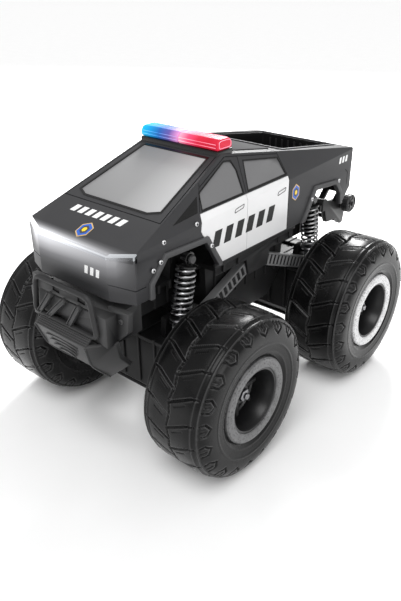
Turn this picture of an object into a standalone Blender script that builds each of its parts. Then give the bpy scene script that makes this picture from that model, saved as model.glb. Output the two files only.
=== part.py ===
"""Remote control stunt truck: wedge pickup body on four balloon tyres, swinging axles and coil shocks.

The truck faces -Y, its left side is +X and it stands on z = 0, with the origin midway between the axles.
Helpers take millimetres and write metres."""

import math

import bmesh
import bpy
from mathutils import Matrix, Vector

MM = 0.001
GAP = 0.3  # clearance between neighbouring pieces

LENGTH = 289.8

# Wheels
TYRE_RADIUS = 55.0
TYRE_WIDTH = 50.6
AXLE_Y = 76.0
WHEEL_X = 75.8
RIM_RADIUS = 29.0
RING_INNER_RADIUS = 22.2
AXLE_RADIUS = 2.4

# Gear pair inside each axle
GEAR_MODULE = 0.8
GEAR_TEETH = 24
PINION_TEETH = 8
GEAR_CENTRES = 13.0
GEAR_X = (34.0, 39.0)

# Body
BODY_BOTTOM = 123.0
BODY_HALF_WIDTH = 47.6
WALL = 2.2
HOOD_FRONT = (-129.5, 151.8)
PEAK = (-30.5, 189.5)
TAIL_TOP = (118.8, 165.6)
PEAK_HALF_WIDTH = 34.4
SIDE_LEAN = 0.4233
SIDE_TAPER = 0.0174

# Suspension
PIVOT_Y = 6.0
PIVOT_Z = 107.0
ARM_X = (36.0, 41.0)
SHOCK_X = 41.2
SHOCK_TOP = {"front": (-72.0, 134.0), "rear": (69.6, 134.5)}
SHOCK_BOTTOM = {"front": (-81.1, 89.4), "rear": (73.4, 89.6)}
CUP_DISTANCE = 5.0
SPRING_RADIUS = 6.1
SPRING_WIRE = 0.75
SPRING_TURNS = 7

# Wheelie wheels
WHEELIE_RADIUS = 7.4
WHEELIE_CENTRE = (LENGTH / 2 - WHEELIE_RADIUS, 112.3)

ENDS = {"front": -1, "rear": 1}
SIDES = {"left": 1, "right": -1}


# ---------------------------------------------------------------- solids

def material(name, colour, roughness, metallic=0.0, alpha=1.0):
    made = bpy.data.materials.get(name)
    if made is None:
        made = bpy.data.materials.new(name)
        made.use_nodes = True
        made.diffuse_color = (*colour, alpha)
        shader = made.node_tree.nodes["Principled BSDF"]
        shader.inputs["Base Color"].default_value = (*colour, 1.0)
        shader.inputs["Roughness"].default_value = roughness
        shader.inputs["Metallic"].default_value = metallic
        shader.inputs["Alpha"].default_value = alpha
    return made


def convex(planes, size=400.0):
    """The solid behind every plane, each a point and an outward normal."""
    solid = bmesh.new()
    bmesh.ops.create_cube(solid, size=size)
    for point, normal in planes:
        everything = solid.verts[:] + solid.edges[:] + solid.faces[:]
        cut = bmesh.ops.bisect_plane(
            solid, geom=everything, plane_co=point, plane_no=normal, clear_outer=True
        )
        rim = [item for item in cut["geom_cut"] if isinstance(item, bmesh.types.BMEdge)]
        if rim:
            bmesh.ops.edgeloop_fill(solid, edges=rim)
    bmesh.ops.recalc_face_normals(solid, faces=solid.faces)
    return solid


def box(x, y, z):
    """The block between the two values of each axis."""
    solid = bmesh.new()
    size = Matrix.Diagonal((x[1] - x[0], y[1] - y[0], z[1] - z[0], 1.0))
    centre = Matrix.Translation([(low + high) / 2 for low, high in (x, y, z)])
    bmesh.ops.create_cube(solid, size=1.0, matrix=centre @ size)
    return solid


def prism(outline, axis, low, high):
    """An outline drawn in the two other axes, in X, Y, Z order, pushed along one axis."""
    solid = bmesh.new()
    ends = []
    for level in (low, high):
        points = []
        for first, second in outline:
            place = [first, second]
            place.insert("xyz".index(axis), level)
            points.append(solid.verts.new(place))
        ends.append(points)
    solid.faces.new(ends[0])
    solid.faces.new(ends[1])
    for index in range(len(outline)):
        after = (index + 1) % len(outline)
        solid.faces.new((ends[0][index], ends[0][after], ends[1][after], ends[1][index]))
    bmesh.ops.recalc_face_normals(solid, faces=solid.faces)
    return solid


def circle(radius, sides, centre=(0.0, 0.0)):
    angles = [2 * math.pi * index / sides for index in range(sides)]
    return [
        (centre[0] + radius * math.cos(angle), centre[1] + radius * math.sin(angle))
        for angle in angles
    ]


def turned(profile, sides):
    """A closed profile of (radius, x) points turned about the X axis."""
    solid = bmesh.new()
    rings = []
    for radius, x in profile:
        around = [(x, *point) for point in circle(radius, sides)]
        rings.append([solid.verts.new(point) for point in around])
    for here, after in zip(rings, rings[1:] + rings[:1]):
        for index in range(sides):
            turn = (index + 1) % sides
            solid.faces.new((here[index], here[turn], after[turn], after[index]))
    bmesh.ops.recalc_face_normals(solid, faces=solid.faces)
    return solid


def moved(solid, offset):
    bmesh.ops.translate(solid, vec=offset, verts=solid.verts)
    return solid


def mirrored(solid):
    """The same solid on the other side of the truck."""
    copy = solid.copy()
    bmesh.ops.scale(copy, vec=(-1.0, 1.0, 1.0), verts=copy.verts)
    bmesh.ops.reverse_faces(copy, faces=copy.faces)
    return copy


def on_side(solid, side):
    return solid if side > 0 else mirrored(solid)


def scratch(solid):
    mesh = bpy.data.meshes.new("scratch")
    solid.to_mesh(mesh)
    helper = bpy.data.objects.new("scratch", mesh)
    bpy.context.collection.objects.link(helper)
    return helper


def combine(first, second, operation):
    """DIFFERENCE, UNION or INTERSECT of two closed solids."""
    helpers = [scratch(first), scratch(second)]
    modifier = helpers[0].modifiers.new("Combine", "BOOLEAN")
    modifier.object = helpers[1]
    modifier.operation = operation
    graph = bpy.context.evaluated_depsgraph_get()
    graph.update()
    evaluated = helpers[0].evaluated_get(graph)
    result = bmesh.new()
    result.from_mesh(evaluated.to_mesh())
    evaluated.to_mesh_clear()
    for helper in helpers:
        mesh = helper.data
        bpy.data.objects.remove(helper)
        bpy.data.meshes.remove(mesh)
    return result


def cut(solid, *cutters):
    for cutter in cutters:
        solid = combine(solid, cutter, "DIFFERENCE")
    return solid


def join(solid, *others):
    for other in others:
        solid = combine(solid, other, "UNION")
    return solid


def both(solid):
    return [solid, mirrored(solid)]


def grown(outline, distance):
    """The outline with every edge moved outwards, or inwards for a negative distance."""
    area = sum(
        a[0] * b[1] - b[0] * a[1] for a, b in zip(outline, outline[1:] + outline[:1])
    )
    sign = 1.0 if area > 0 else -1.0
    result = []
    for index, point in enumerate(outline):
        before = Vector(outline[index - 1])
        here = Vector(point)
        after = Vector(outline[(index + 1) % len(outline)])
        normals = []
        for start, end in ((before, here), (here, after)):
            along = (end - start).normalized()
            normals.append(Vector((along.y, -along.x)) * sign)
        shared = normals[0] + normals[1]
        result.append(tuple(here + shared * (distance / (1 + normals[0].dot(normals[1])))))
    return result


def bar(start, end, half_width, axis, low, high):
    """A straight bar between two points of a side view, pushed along one axis."""
    first = Vector(start)
    last = Vector(end)
    side = (last - first).normalized().orthogonal() * half_width
    corners = [first + side, last + side, last - side, first - side]
    return prism([tuple(corner) for corner in corners], axis, low, high)


def add(name, solid, look, origin=(0.0, 0.0, 0.0), turn=0.0, smooth=False):
    """Makes the named object. Its solid is given about its origin, and turn rotates it about X."""
    bmesh.ops.scale(solid, vec=(MM, MM, MM), verts=solid.verts)
    mesh = bpy.data.meshes.new(name)
    solid.to_mesh(mesh)
    solid.free()
    made = bpy.data.objects.new(name, mesh)
    bpy.context.collection.objects.link(made)
    made.location = [value * MM for value in origin]
    made.rotation_euler = (turn, 0.0, 0.0)
    mesh.materials.append(look)
    if smooth:
        mesh.shade_smooth()
        mesh.set_sharp_from_angle(angle=math.radians(35))
    return made


# ---------------------------------------------------------------- body

def body_planes(inset=0.0, bottom=BODY_BOTTOM):
    """The flat faces of the body, all moved inwards by inset. The underside stays where it is put."""
    hood = (0.0, -(PEAK[1] - HOOD_FRONT[1]), PEAK[0] - HOOD_FRONT[0])
    roof = (0.0, PEAK[1] - TAIL_TOP[1], TAIL_TOP[0] - PEAK[0])
    faces = [
        ((0.0, *PEAK), hood),
        ((0.0, *PEAK), roof),
        ((0.0, HOOD_FRONT[0], 0.0), (0.0, -1.0, 0.0)),
        ((0.0, TAIL_TOP[0], 0.0), (0.0, 1.0, 0.0)),
        ((0.0, 118.5, 133.5), (0.0, 14.0, -13.7)),
    ]
    for side in (1, -1):
        faces += [
            ((side * PEAK_HALF_WIDTH, *PEAK), (side, -SIDE_TAPER, SIDE_LEAN)),
            ((side * BODY_HALF_WIDTH, 0.0, 0.0), (side, 0.0, 0.0)),
            ((side * 31.4, HOOD_FRONT[0], 0.0), (side * 6.3, -16.2, 0.0)),
        ]
    planes = []
    for point, normal in faces:
        outwards = Vector(normal).normalized()
        planes.append((Vector(point) - outwards * inset, outwards))
    planes.append((Vector((0.0, 0.0, bottom)), Vector((0.0, 0.0, -1.0))))
    return planes


def body_layer(outer, inner):
    """The skin of the body between two depths."""
    return cut(convex(body_planes(outer, 100.0)), convex(body_planes(inner, 90.0)))


def inlay(outline, axis, low, high, outer, inner):
    """A panel that follows the body's surface inside an outline."""
    return combine(body_layer(outer, inner), prism(outline, axis, low, high), "INTERSECT")


FRONT_ARCH = [
    (-109.1, 110.0), (-109.1, 131.8), (-97.6, 144.6), (-62.4, 143.3), (-50.5, 124.3), (-50.5, 110.0)
]
REAR_ARCH = [
    (46.0, 110.0), (49.0, 118.6), (65.1, 144.2), (93.9, 141.6), (101.0, 132.5), (104.3, 110.0)
]
WINDSHIELD = [
    (-28.0, -37.2), (28.0, -37.2), (35.8, -88.7), (27.8, -92.4), (-27.8, -92.4), (-35.8, -88.7)
]
FRONT_WINDOW = [
    (-31.4, 185.0), (-24.8, 184.3), (-21.9, 178.1), (-21.4, 163.7), (-62.2, 163.0), (-60.4, 172.8)
]
REAR_WINDOW = [(-13.0, 182.0), (22.4, 176.9), (26.6, 165.0), (-16.4, 164.0)]
DOORS = [
    (-64.7, 161.6), (-17.8, 162.6), (28.3, 163.6), (28.3, 124.3), (-49.4, 124.3), (-66.2, 151.1)
]
BED = [(-35.7, 34.0), (35.7, 34.0), (34.0, 109.0), (-34.0, 109.0)]
DOOR_DEPTH = 1.1
PANE_DEPTH = 1.6


def flare(arch, side):
    """A raised lip round a wheel arch."""
    outline = prism(grown(arch, 3.6), "x", 45.6, BODY_HALF_WIDTH + 1.6)
    above = box((40.0, 60.0), (-150.0, 150.0), (BODY_BOTTOM, 160.0))
    return on_side(combine(outline, above, "INTERSECT"), side)


def light_strip(growth):
    """The bar along the hood's front edge: a layer behind the nose, above a level line."""
    front = convex(body_planes(-growth, 149.4 - growth))
    front = combine(front, box((-60.0, 60.0), (-140.0, -115.0), (100.0, 200.0)), "INTERSECT")
    behind = []
    for point, normal in body_planes(2.2 + growth, 90.0):
        is_nose = normal.y < -0.5 and abs(normal.z) < 0.1
        behind.append((point if is_nose else point + normal * 12.0, normal))
    return cut(front, convex(behind))


def body():
    paint = material("charcoal plastic", (0.045, 0.045, 0.048), 0.35)
    glass = material("smoked window", (0.35, 0.36, 0.37), 0.15)
    white = material("white plastic", (0.78, 0.78, 0.78), 0.35)
    dark = material("black plastic", (0.02, 0.02, 0.021), 0.5)

    shell = cut(convex(body_planes()), convex(body_planes(WALL, 90.0)))
    for side in SIDES.values():
        shell = join(shell, flare(FRONT_ARCH, side), flare(REAR_ARCH, side))
    shell = cut(
        shell,
        prism(FRONT_ARCH, "x", -80.0, 80.0),
        prism(REAR_ARCH, "x", -80.0, 80.0),
        prism(WINDSHIELD, "z", 140.0, 220.0),
        prism(FRONT_WINDOW, "x", -80.0, 80.0),
        prism(REAR_WINDOW, "x", -80.0, 80.0),
        prism(BED, "z", 140.0, 220.0),
        light_strip(GAP),
    )
    for side in SIDES.values():
        recess = inlay(grown(DOORS, GAP), "x", 20.0, 60.0, -3.0, DOOR_DEPTH)
        shell = cut(shell, on_side(recess, side))
    add("body_shell", shell, paint)

    pane = inlay(grown(WINDSHIELD, -GAP), "z", 140.0, 220.0, 0.4, PANE_DEPTH)
    add("windshield", pane, glass)
    for name, side in SIDES.items():
        backing = [(-61.0, 163.0), (-30.0, 186.0), (-10.0, 184.0), (23.0, 178.0), (24.0, 164.5)]
        glazing = inlay(backing, "x", 20.0, 60.0, WALL + GAP, WALL + 1.3)
        for window in (FRONT_WINDOW, REAR_WINDOW):
            raised = inlay(grown(window, -GAP), "x", 20.0, 60.0, 0.5, WALL + 0.9)
            glazing = join(glazing, raised)
        add(f"side_glazing_{name}", on_side(glazing, side), glass)
        panel = inlay(DOORS, "x", 20.0, 60.0, -0.1, DOOR_DEPTH - GAP)
        add(f"door_panel_{name}", on_side(panel, side), white)

    add("headlight_strip", light_strip(0.0), material("light strip", (0.9, 0.92, 0.95), 0.2))

    tub = prism(grown(BED, -GAP), "z", 150.0, 220.0)
    tub = combine(tub, convex(body_planes(0.4, 100.0)), "INTERSECT")
    hollow = prism(grown(BED, -GAP - 1.8), "z", 152.0, 220.0)
    add("bed_liner", cut(tub, hollow), dark)


def light_bar():
    base = box((-34.0, 34.0), (-34.5, -19.0), (185.5, 191.2))
    base = cut(base, convex(body_planes(-GAP)))
    add("light_bar_base", base, material("black plastic", (0.02, 0.02, 0.021), 0.5))
    looks = {
        "red": material("red lens", (0.85, 0.05, 0.12), 0.15),
        "blue": material("blue lens", (0.05, 0.3, 0.95), 0.15),
    }
    rounded = [(-34.2, 191.5), (-34.2, 195.5), (-32.0, 198.0), (-21.5, 198.0), (-19.3, 195.5)]
    rounded += [(-19.3, 191.5)]
    for name, side in (("red", 1), ("blue", -1)):
        lens = prism(rounded, "x", 0.8, 34.6)
        lens = cut(lens, prism(grown(rounded, -1.4), "x", 2.2, 33.2))
        lens = cut(lens, box((2.2, 33.2), (-32.8, -20.7), (180.0, 193.5)))
        add(f"light_bar_lens_{name}", on_side(lens, side), looks[name])


# ---------------------------------------------------------------- chassis

TUB_HALF_WIDTH = 33.0
TUB_OUTLINE = [(-46.0, 115.7), (46.0, 115.7), (44.0, 84.0), (30.0, 66.0), (-30.0, 66.0), (-44.0, 84.0)]
DOOR_X = 21.0
DOOR_Y = (-26.0, 14.0)
SWITCH_Y = 21.0


RAIL_X = (24.4, 28.4)


def chassis_deck():
    deck = box((-32.0, 32.0), (-112.0, 104.0), (116.0, 119.0))
    deck = join(deck, box((-43.5, 43.5), (-48.0, 42.0), (116.3, 118.7)))
    parts = []
    for low, high in ((-107.6, -46.4), (46.4, 104.0)):
        parts += both(box(RAIL_X, (low, high), (100.6, 116.5)))
    skirt = [(-48.0, 122.6), (42.0, 122.6), (42.0, 113.0), (14.0, 113.0), (11.0, 101.0), (-11.0, 101.0)]
    skirt += [(-14.0, 113.0), (-48.0, 113.0)]
    parts += both(prism(skirt, "x", 42.0, 43.8))
    for end, sign in ENDS.items():
        pin = prism(circle(2.0, 12, (sign * PIVOT_Y, PIVOT_Z)), "x", 34.0, 42.5)
        parts += both(pin)
        y, z = SHOCK_TOP[end]
        tower = [(y - 7.0, 118.0), (y + 7.0, 118.0), (y + 4.5, z + 4.5), (y - 4.5, z + 4.5)]
        tower = join(
            prism(tower, "x", 25.0, 31.5),
            prism(circle(2.0, 12, (y, z)), "x", 31.0, 45.6),
        )
        parts += both(tower)
    deck = join(deck, *parts)
    add("chassis_deck", deck, material("black plastic", (0.02, 0.02, 0.021), 0.5))


def chassis_tub():
    dark = material("black plastic", (0.02, 0.02, 0.021), 0.5)
    tub = prism(TUB_OUTLINE, "x", -TUB_HALF_WIDTH, TUB_HALF_WIDTH)
    inside = TUB_HALF_WIDTH - 2.0
    hollow = prism(grown(TUB_OUTLINE, -2.0), "x", -inside, inside)
    above = box((-inside, inside), (-43.8, 43.8), (100.0, 130.0))
    tub = cut(tub, hollow, above)
    tub = cut(tub, box((-DOOR_X, DOOR_X), DOOR_Y, (60.0, 70.0)))
    tub = cut(tub, box((-2.5, 2.5), (SWITCH_Y - 5.0, SWITCH_Y + 5.0), (60.0, 70.0)))
    add("chassis_tub", tub, dark)

    lid = box(
        (-DOOR_X + GAP, DOOR_X - GAP), (DOOR_Y[0] + GAP, DOOR_Y[1] - GAP), (66.2, 68.2)
    )
    add("battery_door", lid, dark)
    pack = box((-15.0, 15.0), (-25.0, 13.0), (69.0, 85.0))
    add("battery_pack", pack, material("battery wrap", (0.1, 0.25, 0.5), 0.4))
    board = box((-26.0, 26.0), (-32.0, 32.0), (98.0, 99.6))
    add("control_board", board, material("circuit board", (0.02, 0.2, 0.08), 0.4))
    knob = box((-2.0, 2.0), (-2.5, 2.5), (-3.4, 1.6))
    knob = join(knob, box((-3.6, 3.6), (-4.0, 4.0), (1.2, 2.4)))
    switch_place = (0.0, SWITCH_Y - 2.0, 67.4)
    add("power_switch", knob, material("switch grey", (0.3, 0.3, 0.3), 0.45), switch_place)


BULL_BAR_SLATS = (
    ((-11.4, 125.0), (-25.0, 101.0)), ((2.2, 125.0), (-15.0, 101.0)), ((16.5, 125.0), (3.0, 101.0))
)


def front_bumper():
    grey = material("bumper plastic", (0.06, 0.06, 0.062), 0.5)
    block = convex([
        ((0.0, 0.0, 115.6), (0.0, 0.0, 1.0)),
        ((0.0, 0.0, 96.0), (0.0, 0.0, -1.0)),
        ((0.0, -136.6, 0.0), (0.0, -1.0, 0.0)),
        ((0.0, -108.0, 0.0), (0.0, 1.0, 0.0)),
        ((35.0, 0.0, 0.0), (1.0, 0.0, 0.0)),
        ((-35.0, 0.0, 0.0), (-1.0, 0.0, 0.0)),
    ])
    wing = [(28.0, 118.5), (45.0, 118.5), (44.0, 105.8), (35.0, 97.3), (28.0, 97.3)]
    rows = [
        [(0.0, -LENGTH / 2, 95.6), (24.0, -LENGTH / 2, 95.6), (36.0, -131.0, 96.4)],
        [(0.0, -139.0, 79.0), (21.0, -139.0, 79.0), (33.0, -126.0, 83.0)],
        [(0.0, -123.0, 62.0), (19.0, -123.0, 62.0), (27.0, -113.0, 69.0)],
    ]
    scoop = bmesh.new()
    grids = []
    for depth in (0.0, 2.6):
        grid = []
        for row in rows:
            whole = [(-x, y, z) for x, y, z in reversed(row[1:])] + row
            grid.append([scoop.verts.new((x, y + depth, z + depth * 0.5)) for x, y, z in whole])
        grids.append(grid)
    front, back = grids
    columns = len(front[0])
    for upper, lower in ((0, 1), (1, 2)):
        for left in range(columns - 1):
            for grid in grids:
                corners = [grid[upper][left], grid[upper][left + 1]]
                corners += [grid[lower][left + 1], grid[lower][left]]
                scoop.faces.new(corners)
        for column in (0, columns - 1):
            corners = [front[upper][column], back[upper][column]]
            corners += [back[lower][column], front[lower][column]]
            scoop.faces.new(corners)
    for row in (0, 2):
        for left in range(columns - 1):
            corners = [front[row][left], front[row][left + 1]]
            corners += [back[row][left + 1], back[row][left]]
            scoop.faces.new(corners)
    bmesh.ops.recalc_face_normals(scoop, faces=scoop.faces)
    bmesh.ops.triangulate(scoop, faces=scoop.faces)
    bumper = join(block, *both(prism(wing, "y", -128.0, -124.0)), scoop)
    add("front_bumper", bumper, grey)

    hoop = [(-30.0, 99.2), (-24.0, 127.6), (24.0, 127.6), (30.0, 99.2)]
    frame = prism(hoop, "y", -141.2, -136.9)
    frame = cut(frame, prism(grown(hoop, -4.0), "y", -150.0, -120.0))
    for start, end in BULL_BAR_SLATS:
        frame = join(frame, bar(start, end, 2.2, "y", -140.7, -137.4))
    add("bull_bar", frame, grey)


def rear_frame():
    dark = material("black plastic", (0.02, 0.02, 0.021), 0.5)
    outline = [
        (104.4, 122.0), (118.0, 118.0), (141.5, 115.5), (143.5, 111.0), (139.5, 93.0), (135.5, 93.0),
        (130.0, 99.0), (112.0, 101.0), (108.0, 112.0), (104.4, 112.0),
    ]
    y, z = WHEELIE_CENTRE
    frame = box((-33.0, 33.0), (104.4, 110.0), (112.0, 122.0))
    frame = join(frame, *both(prism(outline, "x", 29.0, 33.0)))
    frame = join(frame, box((-31.0, 31.0), (135.0, 139.0), (94.0, 98.0)))
    for pin in both(prism(circle(1.8, 10, (y, z)), "x", 32.0, 43.0)):
        frame = join(frame, pin)
    add("rear_frame", frame, dark)
    for name, side in SIDES.items():
        profile = [(2.2, -3.6), (WHEELIE_RADIUS - 0.8, -3.6), (WHEELIE_RADIUS, -2.8)]
        profile += [(WHEELIE_RADIUS, 2.8), (WHEELIE_RADIUS - 0.8, 3.6), (2.2, 3.6)]
        wheel = turned(profile, 20)
        place = (side * 38.0, y, z)
        add(f"wheelie_wheel_{name}", wheel, dark, place, smooth=True)


# ---------------------------------------------------------------- axles

def gear_outline(teeth, tip, root, start):
    """Flat-sided teeth. Tip and root are half widths as shares of a tooth's pitch."""
    pitch_radius = GEAR_MODULE * teeth / 2
    pitch_angle = 2 * math.pi / teeth
    corners = (
        (pitch_radius - GEAR_MODULE, -root), (pitch_radius + 0.7 * GEAR_MODULE, -tip),
        (pitch_radius + 0.7 * GEAR_MODULE, tip), (pitch_radius - GEAR_MODULE, root),
    )
    outline = []
    for tooth in range(teeth):
        for radius, share in corners:
            angle = start + (tooth + share) * pitch_angle
            outline.append((radius * math.cos(angle), radius * math.sin(angle)))
    return outline


def axle(end, sign):
    dark = material("black plastic", (0.02, 0.02, 0.021), 0.5)
    grey = material("arm plastic", (0.35, 0.35, 0.36), 0.5)
    y = sign * AXLE_Y
    pivot = (0.0, sign * PIVOT_Y, PIVOT_Z)
    centre = (y, TYRE_RADIUS)

    def facing(outline):
        """Puts an outline drawn for the rear axle on this one."""
        return [(sign * along, height) for along, height in outline]

    housing = prism(facing([
        (59.0, 40.0), (66.0, 32.3), (86.0, 32.3), (93.0, 40.0), (93.0, 79.0), (59.0, 79.0)
    ]), "x", -44.0, 44.0)
    hollow = prism(facing([
        (61.0, 41.0), (67.0, 34.5), (67.0, 20.0), (85.0, 20.0), (85.0, 34.5), (91.0, 41.0),
        (91.0, 77.0), (61.0, 77.0),
    ]), "x", -42.0, 42.0)
    housing = cut(housing, hollow, prism(circle(AXLE_RADIUS + 0.5, 16, centre), "x", -60.0, 60.0))
    bottom_y, bottom_z = SHOCK_BOTTOM[end]
    arm = bar((sign * PIVOT_Y, PIVOT_Z), (y, 78.6), 4.0, "x", *ARM_X)
    arm = join(arm, prism(circle(5.0, 16, (sign * PIVOT_Y, PIVOT_Z)), "x", *ARM_X))
    arm = cut(arm, prism(circle(2.4, 12, (sign * PIVOT_Y, PIVOT_Z)), "x", 30.0, 50.0))
    upright = [(bottom_y - 6.0, 78.0), (bottom_y + 6.0, 78.0), (bottom_y + 4.0, bottom_z + 4.0)]
    upright += [(bottom_y - 4.0, bottom_z + 4.0)]
    bracket = prism(upright, "x", 29.0, 33.6)
    pin = prism(circle(1.6, 10, (bottom_y, bottom_z)), "x", 32.0, 45.6)
    arm = join(arm, bracket, pin)
    housing = join(housing, *both(arm))
    add(f"{end}_axle_housing", moved(housing, [-value for value in pivot]), dark, pivot)
    cover = prism(facing([(65.0, 30.0), (87.0, 30.0), (86.0, 32.0), (66.0, 32.0)]), "x", -44.0, 44.0)
    add(f"{end}_axle_cover", moved(cover, [-value for value in pivot]), grey, pivot)

    motor_z = TYRE_RADIUS + GEAR_CENTRES
    for name, side in SIDES.items():
        can = prism([(-10.0, -5.0), (-7.5, -7.5), (7.5, -7.5), (10.0, -5.0), (10.0, 5.0), (7.5, 7.5),
                     (-7.5, 7.5), (-10.0, 5.0)], "x", 6.0, 31.0)
        steel = material("motor can", (0.6, 0.6, 0.62), 0.3, 1.0)
        add(f"{end}_{name}_motor", on_side(can, side), steel, (0.0, y, motor_z))
        meshing = math.pi * (1.5 + 1 / PINION_TEETH)
        pinion = prism(gear_outline(PINION_TEETH, 0.08, 0.26, meshing), "x", *GEAR_X)
        pinion = join(pinion, prism(circle(1.0, 8), "x", 31.3, 35.0))
        brass = material("pinion brass", (0.75, 0.55, 0.25), 0.3, 1.0)
        add(f"{end}_{name}_pinion", on_side(pinion, side), brass, (0.0, y, motor_z))
        wheel(end, name, side, y)
        shock(end, name, side)


def wheel(end, name, side, y):
    centre = (side * WHEEL_X, y, TYRE_RADIUS)
    half = TYRE_WIDTH / 2
    bore = RIM_RADIUS + GAP
    profile = [
        (bore, -22.0), (33.0, -half), (45.0, -half), (52.0, -half + 5.5), (TYRE_RADIUS, -6.0),
        (TYRE_RADIUS, 6.0), (52.0, half - 5.5), (45.0, half), (33.0, half),
        (bore, half - 0.6), (bore, half - 6.8), (44.0, half - 4.5), (50.8, 5.0), (50.8, -5.0),
        (44.0, -half + 4.5), (bore, -half + 6.8),
    ]
    rubber = material("black rubber", (0.025, 0.025, 0.026), 0.75)
    add(f"{end}_{name}_tyre", on_side(turned(profile, 28), side), rubber, centre, smooth=True)
    hub_bore = AXLE_RADIUS + GAP
    profile = [
        (hub_bore, -6.0), (8.0, -6.0), (8.0, 3.0), (26.4, 3.0), (26.4, -22.0), (RIM_RADIUS, -22.0),
        (RIM_RADIUS, half - 0.3), (RING_INNER_RADIUS, half - 0.3), (RING_INNER_RADIUS, 7.0), (8.0, 7.0),
        (8.0, 13.0), (hub_bore, 13.0),
    ]
    white = material("white rim plastic", (0.75, 0.75, 0.76), 0.4)
    add(f"{end}_{name}_rim", on_side(turned(profile, 24), side), white, centre, smooth=True)
    steel = material("axle steel", (0.5, 0.5, 0.52), 0.3, 1.0)
    shaft = prism(gear_outline(GEAR_TEETH, 0.11, 0.28, math.pi / 2), "x", *GEAR_X)
    shaft = join(shaft, prism(circle(AXLE_RADIUS, 12), "x", 31.0, WHEEL_X + 14.0))
    shaft = join(shaft, prism(circle(4.6, 6), "x", WHEEL_X + 13.4, WHEEL_X + 16.0))
    add(f"{end}_{name}_axle_shaft", on_side(shaft, side), steel, (0.0, y, TYRE_RADIUS))


TUBE_LENGTH = 31.0
TUBE_RADIUS = 4.2
CUP_RADIUS = 6.9
ROD_LENGTH = 28.0


def shock(end, name, side):
    top = Vector(SHOCK_TOP[end])
    bottom = Vector(SHOCK_BOTTOM[end])
    axis = top - bottom
    length = axis.length
    tilt = math.atan2(-axis.x, axis.y)

    def along(profile, sides):
        """A solid bar about the shock's own axis, from (height, radius) steps."""
        rod = bmesh.new()
        rings = [
            [rod.verts.new((*point, height)) for point in circle(radius, sides)]
            for height, radius in profile
        ]
        for here, after in zip(rings, rings[1:]):
            for index in range(sides):
                turn = (index + 1) % sides
                rod.faces.new((here[index], here[turn], after[turn], after[index]))
        rod.faces.new(rings[0])
        rod.faces.new(rings[-1])
        bmesh.ops.recalc_face_normals(rod, faces=rod.faces)
        return rod

    damper = material("damper black", (0.02, 0.02, 0.02), 0.35)
    cup = CUP_DISTANCE
    tube = along([
        (-TUBE_LENGTH, TUBE_RADIUS), (-cup - 0.6, TUBE_RADIUS), (-cup - 0.6, CUP_RADIUS),
        (-cup + 1.0, CUP_RADIUS), (-cup + 1.0, 2.6), (-3.0, 2.6),
    ], 12)
    tube = cut(tube, along([(-TUBE_LENGTH - 4.0, 2.1), (-7.6, 2.1)], 12))
    tube = join(tube, prism(circle(4.4, 12), "x", -2.2, 2.2))
    tube = cut(tube, prism(circle(2.4, 10), "x", -9.0, 9.0))
    place = (side * SHOCK_X, top.x, top.y)
    add(f"{end}_{name}_shock_body", tube, damper, place, tilt, smooth=True)

    steel = material("shock rod steel", (0.6, 0.6, 0.62), 0.25, 1.0)
    rod = along([
        (3.0, 2.6), (cup - 1.0, 2.6), (cup - 1.0, CUP_RADIUS), (cup + 0.6, CUP_RADIUS), (cup + 0.6, 1.7),
        (ROD_LENGTH, 1.7),
    ], 12)
    rod = join(rod, prism(circle(4.4, 12), "x", -2.2, 2.2))
    rod = cut(rod, prism(circle(2.6, 10), "x", -9.0, 9.0))
    place = (side * SHOCK_X, bottom.x, bottom.y)
    add(f"{end}_{name}_shock_rod", rod, steel, place, tilt, smooth=True)

    wire = material("spring steel", (0.7, 0.7, 0.72), 0.25, 1.0)
    low = cup + 0.6 + GAP + SPRING_WIRE
    high = length - cup - 0.6 - GAP - SPRING_WIRE
    add(f"{end}_{name}_shock_spring", coil(low, high), wire, place, tilt, smooth=True)


def coil(low, high):
    """A round wire wound up between two heights."""
    steps = SPRING_TURNS * 8
    spring = bmesh.new()
    rings = []
    for step in range(steps + 1):
        share = step / steps
        angle = share * SPRING_TURNS * 2 * math.pi
        height = low + (high - low) * share
        ring = []
        for corner in range(4):
            around = math.pi / 2 * corner
            radius = SPRING_RADIUS + SPRING_WIRE * math.cos(around)
            level = height + SPRING_WIRE * math.sin(around)
            ring.append(spring.verts.new((radius * math.cos(angle), radius * math.sin(angle), level)))
        rings.append(ring)
    for here, after in zip(rings, rings[1:]):
        for corner in range(4):
            turn = (corner + 1) % 4
            spring.faces.new((here[corner], here[turn], after[turn], after[corner]))
    spring.faces.new(rings[0])
    spring.faces.new(rings[-1])
    bmesh.ops.recalc_face_normals(spring, faces=spring.faces)
    return spring


def main():
    for old in list(bpy.data.objects):
        bpy.data.objects.remove(old)
    body()
    light_bar()
    chassis_deck()
    chassis_tub()
    front_bumper()
    rear_frame()
    for end, sign in ENDS.items():
        axle(end, sign)


main()
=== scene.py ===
"""The looks of the stunt truck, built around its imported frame. Helpers take millimetres and write metres.

The truck faces -Y, its left side is +X and it stands on z = 0."""

import math

import bmesh
import bpy
import numpy as np
from mathutils import Matrix, Vector


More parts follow.
